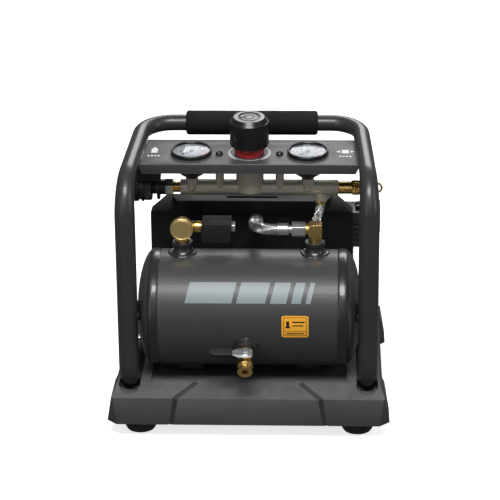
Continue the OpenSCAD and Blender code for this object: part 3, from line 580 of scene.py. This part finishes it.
legLow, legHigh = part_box("right_leg_tube")
legX, legY = legHigh.x - tubes["leg"], legLow.y + tubes["leg"]
tilt, lean = math.radians(panel["tilt"]), math.radians(tubes["lean"])
neckOut = tubes["headBend"] * (1 - math.sin(tilt)) + tubes["neck"] * math.cos(tilt)
neckHigh = tubes["headFrom"] + tubes["headBend"] * math.cos(tilt) + tubes["neck"] * math.sin(tilt)


def legTube(side, node, name):
    start = Matrix.Translation((side * legX, tubes["runBack"], tubes["runHigh"]))
    ring = openRing(start @ facingFront, tubes["leg"])
    pull((0, legY + tubes["footBend"] - tubes["runBack"], 0))
    bend((side * legX, legY + tubes["footBend"], tubes["runHigh"] + tubes["footBend"]), (1, 0, 0), -90)
    pull((0, 0, tubes["headFrom"] - tubes["runHigh"] - tubes["footBend"]))
    inward = Vector((-side * math.sin(lean), math.cos(lean), 0))
    centre = Vector((side * legX, legY, tubes["headFrom"])) + inward * tubes["headBend"]
    steps = 14
    for i in range(steps):
        bend(centre, (math.cos(lean), side * math.sin(lean), 0), -(90 - panel["tilt"]) / steps, 1)
        angle = math.radians(90 - panel["tilt"]) * (i + 1) / steps
        middle = centre + (Vector((0, 0, math.sin(angle))) - inward * math.cos(angle)) * tubes["headBend"]
        narrowing = tubes["rail"] - tubes["leg"]
        shrink = (tubes["leg"] + narrowing * (i + 1) / steps) / (tubes["leg"] + narrowing * i / steps)
        bpy.ops.transform.resize(value=(shrink, shrink, shrink), center_override=tuple(middle))
    pull((inward * math.cos(tilt) + Vector((0, 0, math.sin(tilt)))) * tubes["neck"])
    closeEnds()
    return finished(ring, name, "frameCoat", replaced=(node,), angle=50)


def handleTube():
    leanTurn = math.asin(math.sin(lean) * math.cos(tilt))
    stand = math.atan2(math.sin(tilt), math.cos(lean) * math.cos(tilt))
    joint = legX - math.sin(lean) * neckOut
    corner = tubes["corner"]
    straight = (tubes["reach"] - corner + corner * math.sin(leanTurn)) / math.cos(leanTurn)
    cornerX = joint - straight * math.sin(leanTurn) - corner * math.cos(leanTurn)
    cornerY = tubes["reach"] - corner
    ring = openRing(Matrix.Translation((joint, 0, 0)) @ Matrix.Rotation(leanTurn, 4, "Z") @ facingFront,
                    tubes["rail"])
    pull(Vector((-math.sin(leanTurn), math.cos(leanTurn), 0)) * straight)
    bend((cornerX, cornerY, 0), (0, 0, 1), 90 - math.degrees(leanTurn), 14)
    pull((-2 * cornerX, 0, 0))
    bend((-cornerX, cornerY, 0), (0, 0, 1), 90 - math.degrees(leanTurn), 14)
    pull(Vector((-math.sin(leanTurn), -math.cos(leanTurn), 0)) * straight)
    closeEnds()
    foot = Matrix.Translation((0, legY + math.cos(lean) * neckOut, neckHigh))
    settle(ring, foot @ Matrix.Rotation(stand, 4, "X"))
    return finished(ring, "handleRail", "frameCoat", replaced=("handle_tube",), angle=50)


def foamGrip():
    grip = {"round": 0.0035, "inner": 0.0104, "rings": 16}
    low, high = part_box("foam_grip")
    half, radius = (high.x - low.x) / 2, (high.z - low.z) / 2
    soft = grip["round"]
    edge = [(radius - soft * (1 - math.sin(math.radians(a))), -half + soft * (1 - math.cos(math.radians(a))))
            for a in (0, 30, 60, 90)]
    middle = [(radius, -half + soft + (2 * half - 2 * soft) * i / grip["rings"])
              for i in range(1, grip["rings"])]
    farEdge = [(r, -z) for r, z in reversed(edge)]
    outline = [(grip["inner"], -half)] + edge + middle + farEdge + [(grip["inner"], half)]
    piece = turned(outline, Matrix.Translation((low + high) / 2) @ facingRight, 56)
    roughened(piece, 0.0005, 0.018)
    finished(piece, "foamGrip", "gripFoam", replaced=("foam_grip",), angle=50)


legTube(1, "right_leg_tube", "rightLeg")
legTube(-1, "left_leg_tube", "leftLeg")
handleTube()
foamGrip()
softened("leg_clamps", "zinc", 0.0005)
softened("tube_plugs", "blackMould", 0.0008)
print("frame and grip made")


# base

def grooveShadeStrips():
    # dark strips laid on the floor of the two slanted grooves in the front: painted shade for the recesses
    groove = {"low": (0.0970, -0.1650, 0.0200), "knee": (0.0912, -0.1600, 0.0540),
              "top": (0.0645, -0.1380, 0.0670), "wide": 0.0059, "thick": 0.0008, "sunk": 0.0014}
    strips = []
    for side in (-1, 1):
        spots = [Vector((side * groove[end][0], *groove[end][1:])) for end in ("low", "knee", "top")]
        for start, stop in zip(spots, spots[1:]):
            along = (stop - start).normalized()
            outward = (Vector((1, 0, 0)).cross(Vector((0, along.y, along.z)).normalized())).normalized()
            across = outward.cross(along).normalized()
            turn = Matrix((along, across, outward)).transposed().to_4x4()
            middle = (start + stop) / 2 - outward * groove["sunk"]
            size = ((stop - start).length, groove["wide"], groove["thick"])
            strips.append(bar(size, Matrix.Translation(middle) @ turn))
    finished(joined(strips), "grooveShadeStrips", "footRubber", angle=30)


softened("base_tray", "sandyBase", 0.0006, 2)
grooveShadeStrips()
softened("rubber_feet", "footRubber", 0.0012, 3)
softened("base_screws", "zinc", 0.0004)
print("base made")


# tank, its seams, bungs and markings

tankLow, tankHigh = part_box("tank_shell")
tankMid = (tankLow + tankHigh) / 2
tankRadius = (tankHigh.z - tankLow.z) / 2
tankPlace = Matrix.Translation(tankMid) @ facingRight
bungX = (-0.084, 0.083)
painted("tank_shell", finish="tankCoat")


def tankSeams():
    seam = [(0.0730, 0.1115), (0.0739, 0.1118), (0.0745, 0.1124), (0.0746, 0.1150), (0.0749, 0.1165),
            (0.0750, 0.1190), (0.0747, 0.1215), (0.0741, 0.1235), (0.0731, 0.1252), (0.0715, 0.1254)]
    left = turned([(r, -x) for r, x in seam], tankPlace, 96)
    right = turned(seam, tankPlace, 96)
    piece = roughened(joined([left, right]), 0.0008, 0.006)
    finished(piece, "tankSeams", "weldPaint", replaced=("weld_bands",), angle=60)


def bungWelds():
    # a rippled bead where each bung meets the tank
    sunk = 0.0006
    beads = []
    for x in bungX:
        bead = torus(0.0160, 0.0026, Matrix.Translation((x, tankMid.y, tankHigh.z - sunk)), 72, 14)
        for vertex in bead.data.vertices:
            away = vertex.co.y - tankMid.y
            vertex.co.z -= away * away / (2 * tankRadius)
        beads.append(bead)
    beads.append(torus(0.0152, 0.0020, drainPlace @ Matrix.Translation((0, 0, tankRadius - sunk)), 64, 12))
    piece = roughened(joined(beads), 0.0018, 0.006)
    finished(piece, "bungWelds", "weldPaint", angle=60)


def bungNecks():
    # turned necks with a rim at the top and a flare down to the tank
    neck = {"bore": 0.0072, "rim": 0.0130, "waist": 0.0115, "foot": 0.0160, "top": 0.236, "long": 0.0190}
    bore, rim, waist, foot = neck["bore"], neck["rim"], neck["waist"], neck["foot"]
    profile = [(bore, 0.0), (rim - 0.0006, 0.0), (rim, -0.0006), (rim, -0.0046), (rim - 0.0006, -0.0052),
               (waist, -0.0056), (waist, -0.0100), (waist + 0.0012, -0.0128), (foot, -0.0156),
               (foot, -neck["long"]), (bore, -neck["long"])]
    pieces = [turned(profile, Matrix.Translation((x, tankMid.y, neck["top"])), 64) for x in bungX]
    boss = [(bore, 0.082), (0.0142, 0.082), (0.0150, 0.0812), (0.0150, 0.0760), (0.0166, 0.0735),
            (0.0166, 0.0700), (bore, 0.0700)]
    pieces.append(turned(boss, drainPlace, 64))
    finished(joined(pieces), "bungNecks", "weldPaint", replaced=("tank_bungs",), angle=34)


def tankPatch(fromX, toX, fromAngle, toAngle, slant=0.0, lift=0.0001, rounded=0.0, thick=0.00014, steps=16):
    # a thin patch that lies on the round of the tank; angles go up from straight ahead
    a = math.radians(fromAngle)
    radius = tankRadius + lift
    piece = startPoint((fromX, -radius * math.cos(a), radius * math.sin(a)))
    pull((toX - fromX, 0, 0))
    bpy.ops.mesh.select_all(action="SELECT")
    bend((0, 0, 0), (1, 0, 0), -(toAngle - fromAngle), steps)
    if rounded:
        corners = [(x, turn) for x in (fromX, toX) for turn in (fromAngle, toAngle)]
        bpy.ops.mesh.select_all(action="DESELECT")
        shapeOut()
        for vertex in piece.data.vertices:
            angle = math.degrees(math.atan2(vertex.co.z, -vertex.co.y))
            vertex.select = any(abs(vertex.co.x - x) < 0.00001 and abs(angle - turn) < 0.05
                                for x, turn in corners)
        bpy.ops.object.mode_set(mode="EDIT")
        bpy.ops.mesh.bevel(offset=rounded, segments=5, affect="VERTICES")
        bpy.ops.mesh.select_all(action="SELECT")
    bpy.ops.mesh.normals_make_consistent(inside=False)
    shapeOut()
    for vertex in piece.data.vertices:
        vertex.co.x += slant * (math.degrees(math.atan2(vertex.co.z, -vertex.co.y)) - fromAngle)
    modified(piece, "SOLIDIFY", thickness=thick, offset=0)
    return settle(piece, Matrix.Translation(tankMid))


def tankMarkings():
    # a plain run of slanted bars, and a plain orange label with dark bars
    bars = [(-0.078, -0.020), (-0.014, 0.022), (0.028, 0.048), (0.054, 0.066), (0.072, 0.078)]
    stripes = [tankPatch(fromX, toX, 24.5, 45.5, slant=0.0003) for fromX, toX in bars]
    finished(joined(stripes), "tankStripes", "stripeSilver", angle=30)
    label = tankPatch(0.0425, 0.0760, -9.0, 13.0, rounded=0.0045)
    finished(label, "tankLabel", "labelOrange", angle=30)
    marks = [(0.0448, 0.0737, 10.9, 11.35), (0.0448, 0.0737, -7.35, -6.9), (0.0448, 0.0454, -6.9, 10.9),
             (0.0731, 0.0737, -6.9, 10.9), (0.0448, 0.0737, -2.8, -2.4), (0.0560, 0.0712, 6.0, 7.4),
             (0.0560, 0.0690, 2.6, 3.7), (0.0480, 0.0702, -5.6, -4.4), (0.0474, 0.0530, 0.6, 2.4),
             (0.0484, 0.0520, 2.4, 7.6)]
    dark = [tankPatch(*mark, lift=0.00022, thick=0.0001, steps=8) for mark in marks]
    finished(joined(dark), "tankLabelMarks", "printBlack", angle=30)


tankSeams()
bungWelds()
bungNecks()
tankMarkings()
softened("tank_mounts", "weldPaint", 0.0008)
softened("frame_bolts", "zinc", 0.0005)
print("tank made")


# control panel, regulator and gauges

def panelPrint():
    # two broken rings round the knob, and a plain sign with short bars at each end
    prints = [arcStrip(0.0236, 0.0242, -172, 168, onPanel(up=0.0001), steps=64),
              arcStrip(0.0254, 0.0266, -52, 56, onPanel(up=0.0001), steps=32),
              arcStrip(0.0254, 0.0266, 124, 232, onPanel(up=0.0001), steps=32)]
    signX, signAlong = 0.1206, 0.004
    for x, long in ((-signX, 0.0150), (signX, 0.0168)):
        prints.append(bar((long * 0.52, 0.0100, 0.0002), onPanel(x, signAlong, 0.0001)))
        for i in range(4):
            prints.append(bar((0.0027, 0.0030, 0.0002), onPanel(x + (i - 1.5) * 0.0042, -0.0105, 0.0001)))
    for side in (-1, 1):
        spot = onPanel(signX + side * 0.0082, signAlong, 0.0001)
        prints.append(arrow(0.0040, spot @ Matrix.Rotation(-side * quarter, 4, "Z")
                            @ Matrix.Scale(0.8, 4, (0, 1, 0))))
    prints.append(arrow(0.0052, onPanel(-signX, 0.0112, 0.0001)))
    finished(joined(prints), "panelPrint", "printWhite", angle=30)


def panelScrews():
    # a domed screw with a round recess where the real one has a hexagon, turned once for each side
    dome = [(0.0, 0.0014), (0.0015, 0.0014), (0.0017, 0.0038), (0.0024, 0.0039), (0.0035, 0.0032),
            (0.0044, 0.0018), (0.0048, 0.0004), (0.0048, 0.0), (0.0019, 0.0), (0.0019, -0.014),
            (0.0, -0.014)]
    screws = [turned(dome, onPanel(x, -0.005, 0), 36, close=False) for x in (-0.038, 0.038)]
    finished(joined(screws), "panelScrewHeads", "knobGloss", replaced=("panel_screws",), angle=32)


def knobTop():
    disc = turned([(0.0, 0.0489), (0.0118, 0.0489), (0.0126, 0.0485), (0.0135, 0.0485), (0.0137, 0.0481),
                   (0.0, 0.0481)], onPanel(), 64, close=False)
    finished(disc, "knobDisc", "knobCap", "regulator_knob", angle=30)
    markHigh = 0.0490
    marks = [arcStrip(0.0092, 0.0099, 25, 155, onPanel(up=markHigh), steps=24),
             arcStrip(0.0092, 0.0099, 205, 335, onPanel(up=markHigh), steps=24)]
    for angle in (155, 335):
        spot = Matrix.Rotation(math.radians(angle), 4, "Z") @ Matrix.Translation((0.00955, 0.0008, 0))
        marks.append(arrow(0.0019, onPanel(up=markHigh) @ spot))
    marks += [bar((0.0058, 0.0011, 0.0002), onPanel(0, along, markHigh)) for along in (0.0022, -0.0022)]
    finished(joined(marks), "knobMarks", "printWhite", "regulator_knob", angle=30)


def lockRing():
    body = turned([(0.0147, 0.0), (0.0182, 0.0), (0.0182, 0.0097), (0.0177, 0.0109), (0.0168, 0.0115),
                   (0.0147, 0.0115)], onPanel(), 72)
    ribs = ribsRound(40, 0.0182, (0.0010, 0.0012, 0.0090), onPanel(up=0.0049))
    finished(joined([body, ribs]), "lockRing", "ringRed", replaced=("lock_ring",), angle=34)


def gauge(x, name, redFrom):
    # dial marks and figures run from the lower left round to the lower right
    sweep = {"zero": 225.0, "turn": -270.0, "figures": 0.0140,
             "numbers": ("0", "2", "4", "6", "8", "10", "12")}
    dialHigh = 0.00145
    marks = []
    for i in range(31):
        angle = math.radians(sweep["zero"] + sweep["turn"] * i / 30)
        long, wide = (0.0036, 0.0007) if i % 5 == 0 else (0.0022, 0.0004)
        reach = 0.0205 - long / 2
        spot = Matrix.Rotation(angle, 4, "Z") @ Matrix.Translation((reach, 0, 0))
        marks.append(bar((long, wide, 0.0001), onPanel(x, 0, dialHigh) @ spot))
    for i, figure in enumerate(sweep["numbers"]):
        angle = math.radians(sweep["zero"] + sweep["turn"] * i / 6)
        across, along = sweep["figures"] * math.cos(angle), sweep["figures"] * math.sin(angle)
        bpy.ops.object.text_add()
        text = bpy.context.active_object
        text.data.body = figure
        text.data.size = 0.0056
        text.data.align_x, text.data.align_y = "CENTER", "CENTER"
        text.data.extrude = 0.00005
        pick(text)
        bpy.ops.object.convert(target="MESH")
        marks.append(settle(text, onPanel(x + across, along, dialHigh)))
    marks.append(arcStrip(0.0108, 0.0110, -45, 225, onPanel(x, 0, dialHigh), 0.0001, 48))
    finished(joined(marks), name + "Marks", "printBlack", angle=30)
    red = [arcStrip(0.0176, 0.0188, -45, redFrom, onPanel(x, 0, dialHigh), 0.0001, 20),
           arcStrip(0.0116, 0.0121, -20, 60, onPanel(x, 0, dialHigh), 0.0001, 16)]
    finished(joined(red), name + "RedArc", "printRed", angle=30)


def gaugeRims():
    both = (-panel["gauge"], panel["gauge"])
    rim = [(0.0226, 0.0), (0.0258, 0.0), (0.0260, 0.0012), (0.0260, 0.0034), (0.0256, 0.0044),
           (0.0249, 0.0050), (0.0242, 0.0050), (0.0236, 0.0046), (0.0230, 0.0038), (0.0226, 0.0030)]
    rims = [turned(rim, onPanel(x), 96) for x in both]
    finished(joined(rims), "gaugeRims", "knobGloss", replaced=("gauge_bezels",), angle=50)
    dome = [(0.0, 0.0050), (0.006, 0.00495), (0.012, 0.0047), (0.0175, 0.0042), (0.0226, 0.0034),
            (0.0226, 0.0026), (0.0175, 0.0034), (0.012, 0.0039), (0.006, 0.00415), (0.0, 0.0042)]
    domes = [turned(dome, onPanel(x), 64, close=False) for x in both]
    finished(joined(domes), "gaugeDomes", "gaugeGlass", replaced=("gauge_lenses",), angle=60)


softened("control_panel", "panelCoat", 0.0007, 3)
panelPrint()
panelScrews()
softened("regulator_knob", "knobGloss", 0.0009, 3, limit=20, angle=20)
knobTop()
lockRing()
gauge(-panel["gauge"], "outletGauge", 0)
gauge(panel["gauge"], "tankGauge", -12)
gaugeRims()
# the dials get the paper tone with a painted reflection in it
painted("gauge_dials", finish="dialPaperAndReflection")
painted("outlet_needle", "tank_needle", finish="printBlack")
softened("gauge_cases", "blackMould", 0.0008)
softened("regulator_body", "blackMould", 0.0006)
painted("regulator_stem", finish="turnedSteel")
print("panel made")


# manifold, coupler and safety valve

def couplerGrip():
    # ribs round the sliding sleeve
    ribs = ribsRound(36, 0.0166, (0.0010, 0.0013, 0.0080), onBar(-0.1300))
    finished(ribs, "couplerGrip", "blackOxide", "coupler_sleeve", angle=30)


def safetyKnurl():
    place = onBar(0.1345)
    ring = turned([(0.0070, -0.0040), (0.0084, -0.0040), (0.0089, -0.0034), (0.0089, 0.0034),
                   (0.0084, 0.0040), (0.0070, 0.0040)], place, 48)
    ribs = ribsRound(34, 0.0090, (0.0009, 0.0009, 0.0068), place)
    finished(joined([ring, ribs]), "safetyKnurl", "brassGold", angle=32)


def pipeThreads():
    # thread turns that show beside the fittings
    pitch = 0.0014
    turns = []
    for start, stop, radius in ((-0.0975, -0.0890, 0.00655), (0.1040, 0.1115, 0.0052)):
        for i in range(int((stop - start) / pitch)):
            turns.append(torus(radius, 0.00045, onBar(start + pitch * (i + 0.5)), 40, 8))
    finished(joined(turns), "pipeThreads", "brass", angle=60)


softened("manifold_bar", "castBar", 0.0011, 3)
softened("outlet_nipple", "brass", 0.0005)
softened("pipe_nuts", "nickel", 0.0009, 3)
softened("coupler_body", "blackMould", 0.0007)
softened("coupler_sleeve", "blackOxide", 0.0007)
couplerGrip()
softened("pressure_switch", "blackMould", 0.0012, 3)
softened("safety_valve_body", "brass", 0.0006)
softened("safety_pull", "brassGold", 0.0004)
safetyKnurl()
pipeThreads()
print("manifold made")


# valves and fittings on the tank

def checkCap():
    face = [(0.0, 0.0081), (0.0116, 0.0081), (0.0119, 0.0076), (0.0124, 0.0074), (0.0129, 0.0077),
            (0.0131, 0.0082), (0.0137, 0.0082), (0.0144, 0.0077), (0.0147, 0.0068), (0.0147, 0.0008),
            (0.0143, 0.0002), (0.0138, 0.0), (0.0, 0.0)]
    low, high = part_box("check_valve_cap")
    middle = (low + high) / 2
    cap = turned(face, Matrix.Translation((middle.x, high.y, middle.z)) @ facingFront, 72, close=False)
    finished(cap, "checkCap", "brassSandy", replaced=("check_valve_cap",), angle=32)


def coilTrim():
    # the coil's end plates, its connector and the ribs on its back
    low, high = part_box("solenoid_coil")
    middle = (low + high) / 2
    size = high - low

    def plate(x, y, z, width, depth, height, bevel=0.0004, segments=2):
        return bar((width, depth, height), Matrix.Translation((x, y, z)), bevel, segments)

    trim = [plate(middle.x, middle.y, high.z + 0.0002, size.x * 0.9, size.y * 0.5, 0.0012)]
    for x in (low.x + 0.0003, high.x - 0.0003):
        trim.append(plate(x, middle.y, middle.z, 0.0014, size.y * 0.86, size.z * 0.86))
    trim.append(plate(middle.x, high.y + 0.0030, middle.z, 0.0150, 0.0080, 0.0140, 0.0012, 3))
    for i in range(5):
        x = low.x + size.x * (0.14 + 0.18 * i)
        trim.append(plate(x, high.y + 0.0003, middle.z, 0.0016, 0.0016, size.z * 0.7))
    finished(joined(trim), "coilTrim", "blackMould", angle=34)


def braided(points, radius, strands, twist, name, replacedNode):
    # a dark core with wire strands woven over and under each other round it
    weave = {"wire": 0.00042, "wave": 0.00028, "steps": 84}

    def onCurve(t):
        a, b, c, d = points
        return a * (1 - t) ** 3 + b * 3 * t * (1 - t) ** 2 + c * 3 * t * t * (1 - t) + d * t ** 3

    def aheadAt(t):
        return (onCurve(min(1, t + 0.01)) - onCurve(max(0, t - 0.01))).normalized()

    def newCurve(label, thick, resolution):
        curve = bpy.data.curves.new(name + label, "CURVE")
        curve.dimensions = "3D"
        curve.bevel_depth = thick
        curve.bevel_resolution = resolution
        return curve

    def addSpline(curve, places):
        spline = curve.splines.new("POLY")
        spline.points.add(len(places) - 1)
        for point, place in zip(spline.points, places):
            point.co = (*place, 1)

    frames = []
    side = aheadAt(0).cross(Vector((0.3, 0.2, 1))).normalized()
    for i in range(weave["steps"] + 1):
        t = i / weave["steps"]
        ahead = aheadAt(t)
        side = (side - ahead * side.dot(ahead)).normalized()
        frames.append((onCurve(t), side, ahead.cross(side)))
    wires = newCurve("Wires", weave["wire"], 1)
    for direction in (1, -1):
        for k in range(strands):
            places = []
            for i, (centre, across, over) in enumerate(frames):
                a = 2 * math.pi * (k / strands + direction * twist * i / weave["steps"])
                crossing = 2 * twist * strands * i / weave["steps"] + (k if direction > 0 else -k)
                under = (1 - direction * math.cos(math.pi * crossing)) / 2
                r = radius - weave["wire"] - weave["wave"] * under
                places.append(centre + (across * math.cos(a) + over * math.sin(a)) * r)
            addSpline(wires, places)
    core = newCurve("Core", radius - 3.2 * weave["wire"], 6)
    core.use_fill_caps = True
    addSpline(core, [centre for centre, across, over in frames])
    made = []
    for curve, finish in ((core, "braidCore"), (wires, "braidWire")):
        piece = bpy.data.objects.new(curve.name, curve)
        bpy.context.scene.collection.objects.link(piece)
        pick(piece)
        bpy.ops.object.convert(target="MESH")
        piece = bpy.context.active_object
        piece.data.materials.clear()
        piece.data.materials.append(finishes[finish])
        made.append(piece)
    return finished(joined(made), name, None, replaced=(replacedNode,), angle=60)


def hoseFerrules():
    # a pressed sleeve with grooves at the front end, a plain collar at the back
    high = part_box("hose_ferrules")[1]
    sleeve = [(0.0072, 0.0), (0.0077, 0.0), (0.0079, 0.0006), (0.0079, 0.0022), (0.0074, 0.0026),
              (0.0074, 0.0034), (0.0079, 0.0038), (0.0079, 0.0056), (0.0073, 0.0061), (0.0073, 0.0071),
              (0.0079, 0.0076), (0.0079, 0.0094), (0.0074, 0.0098), (0.0074, 0.0106), (0.0079, 0.0110),
              (0.0079, 0.0134), (0.0075, 0.0140), (0.0052, 0.0142), (0.0050, 0.0200), (0.0030, 0.0200),
              (0.0030, 0.0142), (0.0072, 0.0136)]
    front = turned(sleeve, Matrix.Translation((high.x - 0.020, tankMid.y, hoseStart.z)) @ facingRight, 48)
    collar = [(0.0085, 0.0), (0.0092, 0.0), (0.0095, 0.0005), (0.0095, 0.0050), (0.0090, 0.0056),
              (0.0090, 0.0064), (0.0095, 0.0070), (0.0095, 0.0138), (0.0062, 0.0140), (0.0062, 0.0052),
              (0.0085, 0.0050)]
    back = turned(collar, Matrix.Translation((hoseEnd.x, high.y, hoseEnd.z)) @ facingFront, 48)
    finished(joined([front, back]), "hoseSleeves", "nickel", replaced=("hose_ferrules",), angle=34)


def drainThreads():
    # thread turns at the bung and at the outlet
    turns = [(0.0800, 0.0095), (0.0812, 0.0095), (0.1095, 0.0072), (0.1108, 0.0072), (0.1121, 0.0072)]
    rings = [torus(radius, 0.0005, drainPlace @ Matrix.Translation((0, 0, height)), 40, 8)
             for height, radius in turns]
    finished(joined(rings), "drainThreads", "brass", angle=60)


hoseStart, hoseEnd = Vector((0.040, -0.080, 0.252)), Vector((0.006, -0.004, 0.235))
feedTop = Vector((0.0895, -0.0316, 0.2715))
softened("check_valve_body", "brass", 0.0007)
checkCap()
painted("check_poppet", finish="whiteSeal")
softened("solenoid_coil", "blackMould", 0.0012, 3)
coilTrim()
softened("delivery_tee", "brass", 0.0008, 3)
braided([hoseStart, Vector((0.010, -0.082, 0.251)), Vector((0.0, -0.060, 0.250)), hoseEnd],
        0.0071, 13, 2.1, "braidedHose", "braided_hose")
braided([feedTop, feedTop + Vector((0, 0.002, -0.016)), Vector((0.083, -0.048, 0.253)),
         Vector((0.083, -0.066, 0.252))], 0.0055, 10, 1.3, "feedHose", "feed_hose")
hoseFerrules()
softened("feed_collar", "brass", 0.0006)
softened("drain_valve_body", "brass", 0.0007, 3)
drainThreads()
painted("drain_ball", finish="nickel")
softened("drain_lever", "nickel", 0.0004)
softened("lever_sleeve", "blackMould", 0.0014, 4)
print("valves made")


# covers and pump unit

def coverTrim():
    # ribs, corner screws, the rocker's frame and a blank rating plate on the back
    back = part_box("rear_cover")[1].y
    plate = bar((0.052, 0.0012, 0.030), Matrix.Translation((-0.075, back + 0.0004, 0.128)), 0.0005)
    finished(plate, "ratingPlate", "zinc", angle=32)
    trim = []
    rocker = {"x": 0.080, "z": 0.150, "flat": (0.022, 0.0026, 0.003), "upright": (0.003, 0.0026, 0.024)}
    for x, z, size in ((0, 0.0135, "flat"), (0, -0.0135, "flat"), (0.0095, 0, "upright"),
                       (-0.0095, 0, "upright")):
        spot = Matrix.Translation((rocker["x"] + x, back + 0.0010, rocker["z"] + z))
        trim.append(bar(rocker[size], spot, 0.0008))
    for z in (0.178, 0.182):
        trim.append(bar((0.200, 0.0020, 0.0016), Matrix.Translation((0, back - 0.0002, z)), 0.0006))
    finished(joined(trim), "coverTrim", "shroudMould", angle=34)
    head = [(0.0, 0.0010), (0.0012, 0.0010), (0.0014, 0.0022), (0.0022, 0.0023), (0.0032, 0.0018),
            (0.0037, 0.0007), (0.0037, 0.0), (0.0, 0.0)]
    facingBack = Matrix.Rotation(-quarter, 4, "X")
    screws = [turned(head, Matrix.Translation((x, back, z)) @ facingBack, 28, close=False)
              for x in (-0.112, 0.112) for z in (0.080, 0.172)]
    finished(joined(screws), "coverScrews", "blackOxide", angle=32)


def headBolts():
    low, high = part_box("cylinder_head")
    top = [(0.0, 0.0016), (0.0018, 0.0016), (0.0020, 0.0046), (0.0040, 0.0048), (0.0044, 0.0043),
           (0.0044, 0.0), (0.0, 0.0)]
    insetX, insetY = 0.010, 0.016
    bolts = [turned(top, Matrix.Translation((x, y, high.z)), 32, close=False)
             for x in (low.x + insetX, high.x - insetX) for y in (low.y + insetY, high.y - insetY)]
    finished(joined(bolts), "headBolts", "blackOxide", angle=32)


def filterRibs():
    low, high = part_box("intake_filter")
    middle = Matrix.Translation((high.x - 0.0055, (low.y + high.y) / 2, (low.z + high.z) / 2)) @ facingRight
    ribs = ribsRound(36, 0.0224, (0.0012, 0.0016, 0.0090), middle)
    finished(ribs, "filterRibs", "blackMould", angle=30)


softened("shroud_front", "shroudMould", 0.0014, 3)
softened("rear_cover", "shroudMould", 0.0018, 3)
coverTrim()
softened("power_rocker", "switchRed", 0.0009, 3)
softened("cable_gland", "footRubber", 0.0008)
softened("cylinder_head", "finPaint", 0.0006)
headBolts()
softened("intake_filter", "blackMould", 0.0010, 3)
filterRibs()
painted("motor_housing", "crankcase", finish="dieCast")
painted("wobble_piston", finish="dieCast")
painted("motor_stator", finish="copperWinding")
painted("rotor_shaft", "shaft_bearings", finish="turnedSteel")
painted("cooling_fan", finish="blackMould")
print("covers and pump made")


# floor

def paleFloor():
    deselect()
    bpy.ops.mesh.primitive_plane_add(size=14)
    floor = settle(bpy.context.active_object)
    floor.name = floor.data.name = "floor"
    material = bpy.data.materials.new("paleFloor")
    material.use_nodes = True
    shader = material.node_tree.nodes["Principled BSDF"]
    shader.inputs["Base Color"].default_value = (0.93, 0.93, 0.93, 1)
    shader.inputs["Roughness"].default_value = 0.7
    shader.inputs["Emission Color"].default_value = (1, 1, 1, 1)
    shader.inputs["Emission Strength"].default_value = 0.75
    floor.data.materials.append(material)
    # the floor stays pale without lighting the underside of the machine
    floor.visible_diffuse = False
    floor.visible_glossy = False


paleFloor()
